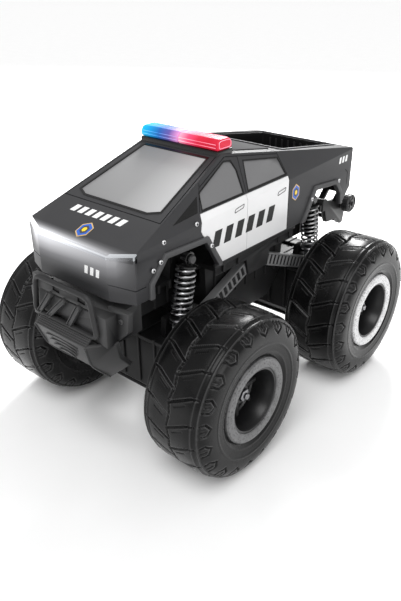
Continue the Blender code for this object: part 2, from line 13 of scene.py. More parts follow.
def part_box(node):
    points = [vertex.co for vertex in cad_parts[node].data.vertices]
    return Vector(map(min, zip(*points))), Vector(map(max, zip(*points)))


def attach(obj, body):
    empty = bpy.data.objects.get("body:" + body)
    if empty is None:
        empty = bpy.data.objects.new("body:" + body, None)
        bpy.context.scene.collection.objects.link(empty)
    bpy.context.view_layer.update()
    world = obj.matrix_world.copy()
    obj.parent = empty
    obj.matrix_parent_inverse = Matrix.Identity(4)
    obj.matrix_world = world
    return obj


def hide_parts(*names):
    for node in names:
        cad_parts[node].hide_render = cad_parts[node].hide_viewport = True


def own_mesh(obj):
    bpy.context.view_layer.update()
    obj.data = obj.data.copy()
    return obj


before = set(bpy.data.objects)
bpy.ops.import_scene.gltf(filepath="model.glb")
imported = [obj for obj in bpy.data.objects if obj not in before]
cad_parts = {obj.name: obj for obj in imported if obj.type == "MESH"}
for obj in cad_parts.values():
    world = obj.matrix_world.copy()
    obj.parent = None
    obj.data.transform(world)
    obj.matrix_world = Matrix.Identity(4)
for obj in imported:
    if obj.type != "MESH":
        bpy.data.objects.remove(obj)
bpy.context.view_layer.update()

MM = 0.001
GAP = 0.3
ENDS = {"front": -1, "rear": 1}
SIDES = {"left": 1, "right": -1}

# Camera, in metres and degrees
CAMERA_PLACE = (0.28923, -0.34671, 0.30056)
CAMERA_AZIMUTH = 40.868
CAMERA_ELEVATION = 27.980
CAMERA_ROLL = -0.436
CAMERA_LENS = 39.0


def middle(node):
    low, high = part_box(node)
    return (low + high) / 2 / MM


def size(node):
    low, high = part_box(node)
    return (high - low) / MM


# Body faces, as in the frame
BODY_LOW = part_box("body_shell")[0] / MM
BODY_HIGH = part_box("body_shell")[1] / MM
BODY_BOTTOM = BODY_LOW.z
BODY_HALF_WIDTH = 47.6
WALL = 2.2
HOOD_FRONT = (BODY_LOW.y, 151.8)
PEAK = (-30.5, BODY_HIGH.z)
TAIL_TOP = (BODY_HIGH.y, 165.6)
PEAK_HALF_WIDTH = 34.4
SIDE_LEAN = 0.4233
SIDE_TAPER = 0.0174

TYRE_RADIUS = size("front_left_tyre").z / 2
TYRE_HALF_WIDTH = size("front_left_tyre").x / 2
RIM_RADIUS = 29.0
RING_INNER_RADIUS = 22.2

ARCHES = {
    "front": [
        (-109.1, 110.0), (-109.1, 131.8), (-97.6, 144.6), (-62.4, 143.3), (-50.5, 124.3), (-50.5, 110.0)
    ],
    "rear": [(46.0, 110.0), (49.0, 118.6), (65.1, 144.2), (93.9, 141.6), (101.0, 132.5), (104.3, 110.0)],
}
WINDSHIELD = [
    (-28.0, -37.2), (28.0, -37.2), (35.8, -88.7), (27.8, -92.4), (-27.8, -92.4), (-35.8, -88.7)
]
FRONT_WINDOW = [
    (-31.4, 185.0), (-24.8, 184.3), (-21.9, 178.1), (-21.4, 163.7), (-62.2, 163.0), (-60.4, 172.8)
]
REAR_WINDOW = [(-13.0, 182.0), (22.4, 176.9), (26.6, 165.0), (-16.4, 164.0)]
QUARTER_WINDOW = [(-89.0, 161.3), (-63.0, 171.6), (-66.6, 162.8)]
DOORS = [
    (-64.7, 161.6), (-17.8, 162.6), (28.3, 163.6), (28.3, 124.3), (-49.4, 124.3), (-66.2, 151.1)
]
BED = [(-35.7, 34.0), (35.7, 34.0), (34.0, 109.0), (-34.0, 109.0)]
DOOR_SEAM_Y = -19.6


# ---------------------------------------------------------------- mesh tools

def convex(planes, extent=400.0):
    """The solid behind every plane, each a point and an outward normal."""
    solid = bmesh.new()
    bmesh.ops.create_cube(solid, size=extent)
    for point, normal in planes:
        everything = solid.verts[:] + solid.edges[:] + solid.faces[:]
        cut_back = bmesh.ops.bisect_plane(
            solid, geom=everything, plane_co=point, plane_no=normal, clear_outer=True
        )
        rim = [item for item in cut_back["geom_cut"] if isinstance(item, bmesh.types.BMEdge)]
        if rim:
            bmesh.ops.edgeloop_fill(solid, edges=rim)
    bmesh.ops.recalc_face_normals(solid, faces=solid.faces)
    return solid


def box(x, y, z):
    solid = bmesh.new()
    scale = Matrix.Diagonal((x[1] - x[0], y[1] - y[0], z[1] - z[0], 1.0))
    centre = Matrix.Translation([(low + high) / 2 for low, high in (x, y, z)])
    bmesh.ops.create_cube(solid, size=1.0, matrix=centre @ scale)
    return solid


def prism(outline, axis, low, high):
    """An outline drawn in the two other axes, in X, Y, Z order, pushed along one axis."""
    solid = bmesh.new()
    ends = []
    for level in (low, high):
        points = []
        for first, second in outline:
            place = [first, second]
            place.insert("xyz".index(axis), level)
            points.append(solid.verts.new(place))
        ends.append(points)
    solid.faces.new(ends[0])
    solid.faces.new(ends[1])
    for index in range(len(outline)):
        after = (index + 1) % len(outline)
        solid.faces.new((ends[0][index], ends[0][after], ends[1][after], ends[1][index]))
    bmesh.ops.recalc_face_normals(solid, faces=solid.faces)
    return solid


def circle(radius, sides, centre=(0.0, 0.0)):
    angles = [2 * math.pi * index / sides for index in range(sides)]
    return [
        (centre[0] + radius * math.cos(angle), centre[1] + radius * math.sin(angle))
        for angle in angles
    ]


def skinned(solid, rings, closed):
    """Faces between each ring of vertices and the next. An open run gets flat caps."""
    pairs = list(zip(rings, rings[1:]))
    if closed:
        pairs.append((rings[-1], rings[0]))
    for here, after in pairs:
        for index in range(len(here)):
            turn = (index + 1) % len(here)
            solid.faces.new((here[index], here[turn], after[turn], after[index]))
    if not closed:
        solid.faces.new(rings[0])
        solid.faces.new(rings[-1])
    bmesh.ops.recalc_face_normals(solid, faces=solid.faces)
    return solid


def turned(profile, sides, closed=True):
    """A (radius, x) profile turned about the X axis. An open profile gets flat caps."""
    solid = bmesh.new()
    rings = [
        [solid.verts.new((x, *point)) for point in circle(radius, sides)] for radius, x in profile
    ]
    return skinned(solid, rings, closed)


def sweep(points, radius, sides=10, closed=False):
    """A round tube through points."""
    solid = bmesh.new()
    places = [Vector(point) for point in points]
    count = len(places)
    rings = []
    side = None
    for index, place in enumerate(places):
        if closed:
            along = places[(index + 1) % count] - places[index - 1]
        else:
            along = places[min(index + 1, count - 1)] - places[max(index - 1, 0)]
        along.normalize()
        side = along.orthogonal() if side is None else side - along * side.dot(along)
        side.normalize()
        up = along.cross(side)
        rings.append([
            solid.verts.new(place + (side * x + up * y)) for x, y in circle(radius, sides)
        ])
    return skinned(solid, rings, closed)


def mirrored(solid):
    copy = solid.copy()
    bmesh.ops.scale(copy, vec=(-1.0, 1.0, 1.0), verts=copy.verts)
    bmesh.ops.reverse_faces(copy, faces=copy.faces)
    return copy


def on_side(solid, side):
    return solid if side > 0 else mirrored(solid)


def both(solid):
    return [solid, mirrored(solid)]


def moved(solid, offset=(0.0, 0.0, 0.0), turn=None):
    matrix = Matrix.Translation(offset)
    if turn is not None:
        matrix = matrix @ turn
    bmesh.ops.transform(solid, matrix=matrix, verts=solid.verts)
    return solid


def scratch(solid):
    mesh = bpy.data.meshes.new("scratch")
    solid.to_mesh(mesh)
    helper = bpy.data.objects.new("scratch", mesh)
    bpy.context.collection.objects.link(helper)
    return helper


def combine(first, second, operation):
    helpers = [scratch(first), scratch(second)]
    modifier = helpers[0].modifiers.new("Combine", "BOOLEAN")
    modifier.object = helpers[1]
    modifier.operation = operation
    graph = bpy.context.evaluated_depsgraph_get()
    graph.update()
    evaluated = helpers[0].evaluated_get(graph)
    result = bmesh.new()
    result.from_mesh(evaluated.to_mesh())
    evaluated.to_mesh_clear()
    for helper in helpers:
        mesh = helper.data
        bpy.data.objects.remove(helper)
        bpy.data.meshes.remove(mesh)
    return result


def cut(solid, *cutters):
    for cutter in cutters:
        solid = combine(solid, cutter, "DIFFERENCE")
    return solid


def sided(solids, side):
    """Solids drawn on the left, in one mesh on their own side."""
    return gathered(*[on_side(solid, side) for solid in solids])


def gathered(*solids):
    """Separate closed solids in one mesh."""
    whole = bmesh.new()
    for solid in solids:
        mesh = bpy.data.meshes.new("scratch")
        solid.to_mesh(mesh)
        whole.from_mesh(mesh)
        bpy.data.meshes.remove(mesh)
    return whole


def bevelled(solid, width, segments=2, angle=25.0):
    """Rounds every edge sharper than an angle."""
    bmesh.ops.remove_doubles(solid, verts=solid.verts, dist=0.001)
    bmesh.ops.dissolve_limit(
        solid, angle_limit=math.radians(0.6), verts=solid.verts, edges=solid.edges
    )
    sharp = [
        edge for edge in solid.edges
        if len(edge.link_faces) == 2 and edge.calc_face_angle(0.0) > math.radians(angle)
    ]
    bmesh.ops.bevel(
        solid, geom=sharp, offset=width, offset_type="OFFSET", segments=segments, profile=0.5,
        affect="EDGES", clamp_overlap=True,
    )
    return solid


def block(x, y, z, width, segments=2):
    """A box with rounded edges."""
    return bevelled(box(x, y, z), width, segments)


def grown(outline, distance):
    """The outline with every edge moved outwards, or inwards for a negative distance."""
    area = sum(
        a[0] * b[1] - b[0] * a[1] for a, b in zip(outline, outline[1:] + outline[:1])
    )
    sign = 1.0 if area > 0 else -1.0
    result = []
    for index, point in enumerate(outline):
        before = Vector(outline[index - 1])
        here = Vector(point)
        after = Vector(outline[(index + 1) % len(outline)])
        normals = []
        for start, end in ((before, here), (here, after)):
            along = (end - start).normalized()
            normals.append(Vector((along.y, -along.x)) * sign)
        shared = normals[0] + normals[1]
        result.append(tuple(here + shared * (distance / (1 + normals[0].dot(normals[1])))))
    return result


def rounded(outline, radius, steps=4):
    """The outline with its corners rounded off."""
    result = []
    for index, point in enumerate(outline):
        here = Vector(point)
        before = Vector(outline[index - 1]) - here
        after = Vector(outline[(index + 1) % len(outline)]) - here
        reach = min(radius, before.length * 0.45, after.length * 0.45)
        start = here + before.normalized() * reach
        end = here + after.normalized() * reach
        for step in range(steps + 1):
            t = step / steps
            result.append(tuple(start * (1 - t) ** 2 + here * 2 * t * (1 - t) + end * t ** 2))
    return result


def stripe(start, end, width):
    """The outline of a straight line with some width."""
    first = Vector(start)
    last = Vector(end)
    side = (last - first).normalized().orthogonal() * width / 2
    return [tuple(first + side), tuple(last + side), tuple(last - side), tuple(first - side)]


def piece(name, solid, look, body, replaces=(), place=(0.0, 0.0, 0.0), sharp=35.0):
    """Makes the object that is shown: in metres, shaded smooth, riding on a body."""
    bmesh.ops.scale(solid, vec=(MM, MM, MM), verts=solid.verts)
    mesh = bpy.data.meshes.new(name)
    solid.to_mesh(mesh)
    solid.free()
    made = bpy.data.objects.new(name, mesh)
    bpy.context.scene.collection.objects.link(made)
    made.location = [value * MM for value in place]
    mesh.materials.append(look)
    mesh.shade_smooth()
    mesh.set_sharp_from_angle(angle=math.radians(sharp))
    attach(made, body)
    if replaces:
        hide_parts(*replaces)
    return made


# ---------------------------------------------------------------- materials

def new_material(name, colour):
    made = bpy.data.materials.new(name)
    made.use_nodes = True
    made.diffuse_color = (*colour, 1.0)
    return made


def feed(made, node, inputs):
    """Sets each of a node's inputs to a value, or links it to another node's output."""
    for name, value in inputs.items():
        if isinstance(value, bpy.types.NodeSocket):
            made.node_tree.links.new(value, node.inputs[name])
        else:
            node.inputs[name].default_value = value


def finish(made, inputs):
    feed(made, made.node_tree.nodes["Principled BSDF"], inputs)
    return made


def add_node(made, kind, result, inputs, **settings):
    """One output of a new shader node."""
    node = made.node_tree.nodes.new(f"ShaderNode{kind}")
    for name, value in settings.items():
        setattr(node, name, value)
    feed(made, node, inputs)
    return node.outputs[result]


def ranged(made, value, low, high, start=0.0, end=1.0, **settings):
    """A value between low and high, moved to between start and end."""
    limits = {"From Min": low, "From Max": high, "To Min": start, "To Max": end}
    return add_node(made, "MapRange", "Result", {"Value": value, **limits}, **settings)


def ramp(made, share, stops):
    """A colour that runs through (position, colour) stops."""
    node = made.node_tree.nodes.new("ShaderNodeValToRGB")
    elements = node.color_ramp.elements
    while len(elements) < len(stops):
        elements.new(0.5)
    for index, (position, colour) in enumerate(stops):
        elements[index].position = position
        elements[index].color = (*colour, 1.0)
    feed(made, node, {"Fac": share})
    return node.outputs["Color"]


def blended(made, share, first, colour):
    inputs = {"Factor": share, "A": first, "B": (*colour, 1.0)}
    return add_node(made, "Mix", "Result", inputs, data_type="RGBA")


def relief(made, place, scale, detail, strength, distance):
    fine = add_node(made, "TexNoise", "Fac", {"Vector": place, "Scale": scale, "Detail": detail})
    inputs = {"Height": fine, "Strength": strength, "Distance": distance}
    return add_node(made, "Bump", "Normal", inputs)


DUST = (0.16, 0.15, 0.14)
GLOSS_CHANGE = 0.07


def surface(
    name, colour, roughness, metallic=0.0, mottle=0.1, mottle_scale=30.0, grain=1400.0, bump=0.1,
    edge_wear_and_glint=0.0, coat=0.0, dust=0.0, specular=0.5, specks=0.0,
):
    """A moulded or machined surface: uneven colour, fine grain, and paler edges, which are wear on most parts
    and a painted highlight on the tyre's ridges.
    """
    made = new_material(name, colour)
    place = add_node(made, "TexCoord", "Object", {})
    cloud = add_node(made, "TexNoise", "Fac", {"Vector": place, "Scale": mottle_scale, "Detail": 6.0})
    shades = [[min(1.0, value * (1 + change)) for value in colour] for change in (-mottle, mottle)]
    last = ramp(made, cloud, [(0.3, shades[0]), (0.7, shades[1])])
    # Paler edges: wear on most parts, a painted highlight along the tyre's ridges.
    if edge_wear_and_glint:
        edges = add_node(made, "NewGeometry", "Pointiness", {})
        wear_and_glint = ranged(made, edges, 0.51, 0.58, end=edge_wear_and_glint)
        last = blended(made, wear_and_glint, last, [min(1.0, value * 2.2 + 0.05) for value in colour])
    if dust:
        last = blended(made, ranged(made, cloud, 0.5, 0.85, end=dust), last, DUST)
    if specks:
        cells = add_node(made, "TexVoronoi", "Distance", {"Vector": place, "Scale": 620.0})
        spots = ranged(made, cells, 0.42, 0.25, end=specks)
        last = blended(made, spots, last, [value * 0.3 for value in colour])
    least = max(0.02, roughness - GLOSS_CHANGE)
    most = min(1.0, roughness + GLOSS_CHANGE)
    return finish(made, {
        "Base Color": last,
        "Roughness": ranged(made, cloud, 0.0, 1.0, least, most),
        "Metallic": metallic,
        "Coat Weight": coat,
        "Coat Roughness": 0.15,
        "Specular IOR Level": specular,
        "Normal": relief(made, place, grain, 3.0, bump, 0.0002),
    })


def ramped(name, axis, start, end, colours, roughness, coat=0.4, emission=0.0):
    """A clear or lit moulding whose colour changes along one axis, between two places in mm. On the
    windshield the change is a painted reflection and the emission is painted light.
    """
    made = new_material(name, colours[0])
    place = add_node(made, "TexCoord", "Object", {})
    level = add_node(made, "SeparateXYZ", axis, {"Vector": place})
    share = ranged(made, level, start * MM, end * MM)
    last = len(colours) - 1
    colour = ramp(made, share, [(index / last, stop) for index, stop in enumerate(colours)])
    if emission:
        finish(made, {"Emission Color": colour, "Emission Strength": emission})
    return finish(made, {
        "Base Color": colour,
        "Roughness": roughness,
        "Coat Weight": coat,
        "Coat Roughness": 0.05,
        "Specular IOR Level": 0.25,
        "Normal": relief(made, place, 120.0, 2.0, 0.03, 0.0003),
    })


def paint_nose_glow(made):
    """Paints the light strip's glow onto the top of the nose as emission, fading downwards and weaker towards
    +X: painted light, with painted shade on the +X corner.
    """
    place = add_node(made, "TexCoord", "Object", {})
    x, y, z = [add_node(made, "SeparateXYZ", axis, {"Vector": place}) for axis in "XYZ"]
    near = add_node(made, "Math", "Value", {
        0: ranged(made, z, 0.1275, 0.1525, interpolation_type="SMOOTHSTEP"),
        1: ranged(made, y, -0.1215, -0.1275),
    }, operation="MULTIPLY")
    # Weaker glow towards +X: painted shade on the nose's near corner facet.
    lit = add_node(made, "Math", "Value", {
        0: near, 1: ranged(made, x, 0.05, -0.02, start=0.55)
    }, operation="MULTIPLY")
    stops = [(0.0, (0.0, 0.0, 0.0))]
    stops += [(at, (level, level, level * 1.04)) for at, level in ((0.25, 0.06), (0.5, 0.2), (0.78, 0.55))]
    stops += [(1.0, (0.95, 0.96, 1.0))]
    return finish(made, {"Emission Color": ramp(made, lit, stops), "Emission Strength": 1.0})


# The body's material carries a painted glow of the light strip's light on the nose, which is no lamp.
BODY = paint_nose_glow(surface("charcoal_body", (0.034, 0.034, 0.036), 0.5, mottle=0.06, bump=0.06, specular=0.22))
TRIM = surface("lighter_trim", (0.055, 0.055, 0.057), 0.55, mottle=0.08, bump=0.12, edge_wear_and_glint=0.25, specular=0.2)
ROOF = surface("roof_grey", (0.04, 0.04, 0.042), 0.7, mottle=0.08, bump=0.12, specular=0.06)
GLOSS_BLACK = surface("gloss_black", (0.006, 0.006, 0.006), 0.2, mottle=0.1, bump=0.03, specular=0.35)
BLACK = surface("matt_black", (0.007, 0.007, 0.0075), 0.45, bump=0.2, edge_wear_and_glint=0.2, dust=0.05, specular=0.15)
BUMPER = surface("bumper_grey", (0.009, 0.009, 0.0094), 0.38, mottle=0.14, bump=0.12, edge_wear_and_glint=0.8, specular=0.16)
ARM = surface("arm_grey", (0.12, 0.12, 0.122), 0.4, mottle=0.1, bump=0.15, edge_wear_and_glint=0.2, specular=0.3)
WHITE = surface("white_panel", (0.7, 0.7, 0.705), 0.32, mottle=0.03, bump=0.04, specular=0.35)
PRINT = surface("white_print", (0.8, 0.8, 0.8), 0.4, mottle=0.03, bump=0.05, specular=0.3)
INK_AND_SHADE = surface("black_print_and_painted_shade", (0.008, 0.008, 0.008), 0.45, mottle=0.1, bump=0.05, specular=0.25)
BADGE_BLUE = surface("badge_blue", (0.03, 0.12, 0.5), 0.3, mottle=0.06, bump=0.04, specular=0.3)
BADGE_DARK = surface("badge_dark", (0.05, 0.05, 0.06), 0.4, mottle=0.1, bump=0.05, specular=0.3)
BADGE_GOLD = surface("badge_gold", (0.62, 0.42, 0.18), 0.35, mottle=0.08, bump=0.04, specular=0.3)
BADGE_YELLOW = surface("badge_yellow", (0.9, 0.62, 0.02), 0.35, mottle=0.05, bump=0.04)
# The tyre's paler edges are a painted highlight: bright lines along its ridges and groove lips.
RUBBER = surface(
    "tyre_rubber", (0.004, 0.004, 0.0042), 0.27, mottle=0.35, mottle_scale=60.0, grain=1100.0, bump=0.2,
    edge_wear_and_glint=1.0, dust=0.03, specular=0.19,
)
RING = surface(
    "rim_ring_white", (0.6, 0.6, 0.605), 0.4, mottle=0.12, mottle_scale=160.0, bump=0.25, specks=0.7,
    specular=0.3,
)
# A darker copy of the white ring for the front wheels: painted shade on the same part.
RING_PAINTED_SHADE = surface(
    "rim_ring_white_painted_shade", (0.13, 0.13, 0.132), 0.4, mottle=0.2, mottle_scale=160.0, bump=0.25, specks=0.7,
    specular=0.3,
)
HUB = surface("hub_black", (0.008, 0.008, 0.0085), 0.35, mottle=0.15, bump=0.12, edge_wear_and_glint=0.4, specular=0.4)
STEEL = surface("spring_steel", (0.45, 0.45, 0.46), 0.32, metallic=1.0, mottle=0.08, bump=0.06)
DARK_STEEL = surface("rod_steel", (0.25, 0.25, 0.26), 0.32, metallic=1.0, mottle=0.1, bump=0.08)
SCREW = surface("screw_zinc", (0.6, 0.6, 0.61), 0.35, metallic=0.6, mottle=0.08, bump=0.06)
BRASS = surface("pinion_brass", (0.72, 0.5, 0.2), 0.28, metallic=1.0, mottle=0.08, bump=0.06)
BOARD = surface("board_green", (0.015, 0.16, 0.07), 0.35, mottle=0.12, bump=0.1)
WRAP = surface("battery_blue", (0.05, 0.16, 0.42), 0.3, mottle=0.06, bump=0.05, coat=0.3)
SWITCH = surface("switch_grey", (0.25, 0.25, 0.25), 0.45, mottle=0.08, bump=0.1)
SIDE_GLASS = surface("side_glass", (0.15, 0.15, 0.153), 0.2, mottle=0.03, bump=0.01, specular=0.4)
# The windshield grows lighter across X and glows a little: a painted reflection and painted light on glass.
GLASS = ramped(
    "windshield_glass_painted_reflection", "X", -36.0, 36.0, [(0.17, 0.17, 0.172), (0.2, 0.2, 0.202), (0.35, 0.35, 0.353)], 0.6,
    coat=0.0, emission=0.5,
)
LED_WHITE = ramped(
    "light_strip", "X", -48.0, 48.0,
    [(0.9, 0.9, 0.9), (0.7, 0.72, 0.75), (0.4, 0.41, 0.43), (0.2, 0.21, 0.22)], 0.4, emission=0.9,
)
BLUE_LENS = ramped(
    "blue_lens", "X", -34.0, 0.0,
    [(0.0, 0.36, 0.6), (0.0, 0.21, 0.47), (0.01, 0.08, 0.3), (0.08, 0.06, 0.25), (0.5, 0.2, 0.42)], 0.45,
    emission=0.7, coat=0.0,
)
RED_LENS = ramped(
    "red_lens", "X", 0.0, 34.0,
    [(0.75, 0.3, 0.42), (0.6, 0.05, 0.13), (0.45, 0.01, 0.035), (0.4, 0.005, 0.02), (0.42, 0.01, 0.03)], 0.45,
    emission=0.7, coat=0.0,
)
LENS_CORE_BLUE = ramped(
    "blue_lamp", "X", -34.0, 0.0, [(0.15, 0.6, 0.9), (0.03, 0.22, 0.6), (0.5, 0.3, 0.6)], 0.3, emission=0.6
)
LENS_CORE_RED = ramped(
    "red_lamp", "X", 0.0, 34.0, [(0.9, 0.6, 0.7), (0.8, 0.14, 0.22), (0.75, 0.3, 0.4)], 0.3, emission=0.6
)


# ---------------------------------------------------------------- body

def body_planes(inset=0.0, bottom=BODY_BOTTOM):
    """The flat faces of the body, all moved inwards by inset. The underside stays where it is put."""
    hood = (0.0, -(PEAK[1] - HOOD_FRONT[1]), PEAK[0] - HOOD_FRONT[0])
    roof = (0.0, PEAK[1] - TAIL_TOP[1], TAIL_TOP[0] - PEAK[0])
    faces = [
        ((0.0, *PEAK), hood),
        ((0.0, *PEAK), roof),
        ((0.0, HOOD_FRONT[0], 0.0), (0.0, -1.0, 0.0)),
        ((0.0, TAIL_TOP[0], 0.0), (0.0, 1.0, 0.0)),
        ((0.0, 118.5, 133.5), (0.0, 14.0, -13.7)),
    ]
    for side in (1, -1):
        faces += [
            ((side * PEAK_HALF_WIDTH, *PEAK), (side, -SIDE_TAPER, SIDE_LEAN)),
            ((side * BODY_HALF_WIDTH, 0.0, 0.0), (side, 0.0, 0.0)),
            ((side * 31.4, HOOD_FRONT[0], 0.0), (side * 6.3, -16.2, 0.0)),
        ]
    planes = []
    for point, normal in faces:
        outwards = Vector(normal).normalized()
        planes.append((Vector(point) - outwards * inset, outwards))
    planes.append((Vector((0.0, 0.0, bottom)), Vector((0.0, 0.0, -1.0))))
    return planes


def softened(planes, radius, steps=3):
    """The planes of a convex solid, and more that round each of its edges."""
    more = list(planes)
    for index, (point, normal) in enumerate(planes):
        for other_point, other_normal in planes[index + 1:]:
            if normal.dot(other_normal) > 0.995 or normal.dot(other_normal) < -0.5:
                continue
            for step in range(1, steps + 1):
                share = step / (steps + 1)
                between = normal * (1 - share) + other_normal * share
                reach = (1 - share) * (normal.dot(point) - radius)
                reach += share * (other_normal.dot(other_point) - radius)
                reach = reach / between.length + radius
                outwards = between.normalized()
                more.append((outwards * reach, outwards))
    return more


def body_layer(outer, inner):
    return cut(convex(body_planes(outer, 100.0)), convex(body_planes(inner, 90.0)))


def inlay(outline, axis, low, high, outer, inner):
    """A panel that follows the body's surface inside an outline."""
    return combine(prism(outline, axis, low, high), body_layer(outer, inner), "INTERSECT")


def side_inlay(outline, outer, inner):
    return inlay(outline, "x", 20.0, 60.0, outer, inner)


def top_inlay(outline, outer, inner):
    return inlay(outline, "z", 140.0, 230.0, outer, inner)


def nose_inlay(outline, outer, inner):
    return inlay(outline, "y", -140.0, -115.0, outer, inner)


SEAM_DEPTH = 0.8


def seams(lines, panel, width):
    """Grooves along straight lines, cut to one depth below the body's surface."""
    return [panel(stripe(start, end, width), -1.0, SEAM_DEPTH) for start, end in lines]


def shell():
    solid = convex(softened(body_planes(), 1.1))
    for side in SIDES.values():
        solid = cut(solid, on_side(side_inlay(grown(DOORS, GAP), -3.0, 1.1), side))
    top_lines = [((-43.0, -96.5), (43.0, -96.5))]
    top_lines += [((side * 42.6, -96.5), (side * 32.2, -33.0)) for side in (1, -1)]
    top_lines += [((-33.0, -15.0), (33.0, -15.0)), ((-36.5, 30.0), (36.5, 30.0))]
    grooves = seams(top_lines, top_inlay, 0.7)
    low_nose = stripe((31.0, 134.2), (48.5, 132.4), 0.6)
    grooves += both(nose_inlay(low_nose, -1.0, SEAM_DEPTH))
    side_lines = [((-64.9, 162.6), (-58.0, 178.0)), ((-18.9, 163.6), (-17.4, 186.0))]
    side_lines += [((28.0, 164.4), (22.0, 183.0)), ((28.9, 163.0), (28.9, 124.0))]
    side_lines += [((-59.0, 175.6), (-29.4, 187.4)), ((-28.6, 187.4), (22.0, 179.4))]
    quarter = [(109.0, 150.0), (112.5, 146.6), (112.5, 137.0)]
    side_lines += zip(quarter, quarter[1:])
    for groove in seams(side_lines, side_inlay, 0.6):
        grooves += both(groove)
    tail = rounded([(-36.0, 160.0), (36.0, 160.0), (33.0, 137.0), (-33.0, 137.0)], 3.0)
    grooves.append(cut(prism(tail, "y", 118.2, 125.0), prism(grown(tail, -0.6), "y", 110.0, 130.0)))
    solid = cut(solid, *grooves)
    solid = cut(
        solid,
        convex(body_planes(WALL, 90.0)),
        *[prism(outline, "x", -80.0, 80.0) for outline in (*ARCHES.values(), FRONT_WINDOW, REAR_WINDOW)],
        *[prism(outline, "z", 140.0, 220.0) for outline in (WINDSHIELD, BED)],
        *both(box((20.5, 27.4), (100.0, 116.0), (118.0, 129.5))),
        *both(box((32.2, 40.0), (100.0, 116.0), (118.0, 129.5))),
        light_strip(),
    )
    piece("body_shell_skin", solid, BODY, "chassis", ["body_shell"], sharp=20.0)


def flares():
    """The lips round the wheel arches, with their fixing screws."""
    for name, arch in ARCHES.items():
        lip = prism(grown(arch, 3.6), "x", 47.3, BODY_HALF_WIDTH + 1.6)
        below = box((30.0, 60.0), (-200.0, 200.0), (90.0, BODY_BOTTOM))
        lip = bevelled(cut(lip, prism(arch, "x", 30.0, 60.0), below), 0.35)
        for side_name, side in SIDES.items():
            made = on_side(lip.copy(), side)
            piece(f"{name}_flare_{side_name}", made, TRIM, "chassis")
    spots = [(-99.4, 155.0), (-70.6, 157.6), (-110.3, 141.4), (-104.0, 144.6), (-58.2, 140.0)]
    spots += [(58.6, 139.0), (97.0, 144.0)]
    screws = []
    socket_shades = []
    for y, z in spots:
        head = turned([(0.25, 0.0), (1.3, 0.0), (1.5, 0.3), (1.3, 0.8), (0.25, 1.0)], 20, closed=False)
        on_lip = abs(z - 141.0) < 4.0
        place = (BODY_HALF_WIDTH + (1.5 if on_lip else -0.1), y, z)
        screws += both(moved(head, place))
        # A black hexagon on each head stands for the shade inside its socket: painted shade.
        socket_shades += both(moved(prism(circle(0.75, 6), "x", 0.9, 1.06), place))
    piece("body_screws", gathered(*screws), SCREW, "chassis")
    piece("body_screw_sockets", gathered(*socket_shades), INK_AND_SHADE, "chassis")


def windows():
    pane = top_inlay(grown(WINDSHIELD, -GAP), 0.35, 1.6)
    piece("windshield_pane", bevelled(pane, 0.25, 2), GLASS, "chassis", ["windshield"])
    frame_ring = cut(
        top_inlay(grown(WINDSHIELD, 0.9), -0.25, 0.9),
        prism(grown(WINDSHIELD, -0.5), "z", 130.0, 230.0),
    )
    frame_ring = cut(frame_ring, top_inlay(grown(WINDSHIELD, -0.05), 0.3, 3.0))
    piece("windshield_gasket", frame_ring, GLOSS_BLACK, "chassis")
    for name, side in SIDES.items():
        panes = []
        gaskets = []
        for window in (FRONT_WINDOW, REAR_WINDOW):
            panes.append(bevelled(side_inlay(grown(window, -GAP), 0.35, 3.4), 0.2, 1))
            gaskets.append(cut(
                side_inlay(grown(window, 0.55), -0.15, 0.8),
                prism(rounded(grown(window, -0.25), 1.2), "x", 10.0, 70.0),
            ))
        glass = sided(panes, side)
        piece(f"side_glass_{name}", glass, SIDE_GLASS, "chassis", [f"side_glazing_{name}"])
        rims = sided(gaskets, side)
        piece(f"side_gaskets_{name}", rims, GLOSS_BLACK, "chassis")
        quarter = bevelled(side_inlay(QUARTER_WINDOW, -0.2, 0.6), 0.15, 1)
        piece(f"quarter_window_{name}", on_side(quarter, side), GLOSS_BLACK, "chassis")


HANDLES = (((-33.6, 153.6), (-24.0, 157.4)), ((14.6, 152.6), (24.2, 156.4)))


def doors():
    for name, side in SIDES.items():
        panel = bevelled(side_inlay(DOORS, -0.15, 0.8), 0.2, 2, 12.0)
        groove = side_inlay(stripe((DOOR_SEAM_Y, 120.0), (DOOR_SEAM_Y, 170.0), 0.5), -2.0, 0.35)
        panel = cut(panel, groove)
        rings = []
        for (y0, z0), (y1, z1) in HANDLES:
            outline = rounded([(y0, z0), (y1, z0 + 1.4), (y1 + 0.8, z1 + 0.4), (y0 + 0.8, z1 - 1.0)], 1.0)
            ring = cut(
                prism(outline, "x", BODY_HALF_WIDTH, BODY_HALF_WIDTH + 0.3),
                prism(grown(outline, -0.42), "x", 30.0, 60.0),
            )
            rings.append(ring)
        piece(f"door_handle_lines_{name}", sided(rings, side), INK_AND_SHADE, "chassis")
        piece(
            f"door_panels_{name}", on_side(panel, side), WHITE, "chassis",
            [f"door_panel_{name}"], sharp=25.0,
        )


def slanted_bars(count, start, pitch, width, low, high, slant):
    bars = []
    for index in range(count):
        left = start + pitch * index
        bars.append([(left, low), (left + width, low), (left + width + slant, high), (left + slant, high)])
    return bars


def hexagon(centre, width, height):
    x, y = centre
    return [
        (x, y + height), (x + width, y + height * 0.5), (x + width, y - height * 0.5),
        (x, y - height), (x - width, y - height * 0.5), (x - width, y + height * 0.5),
    ]


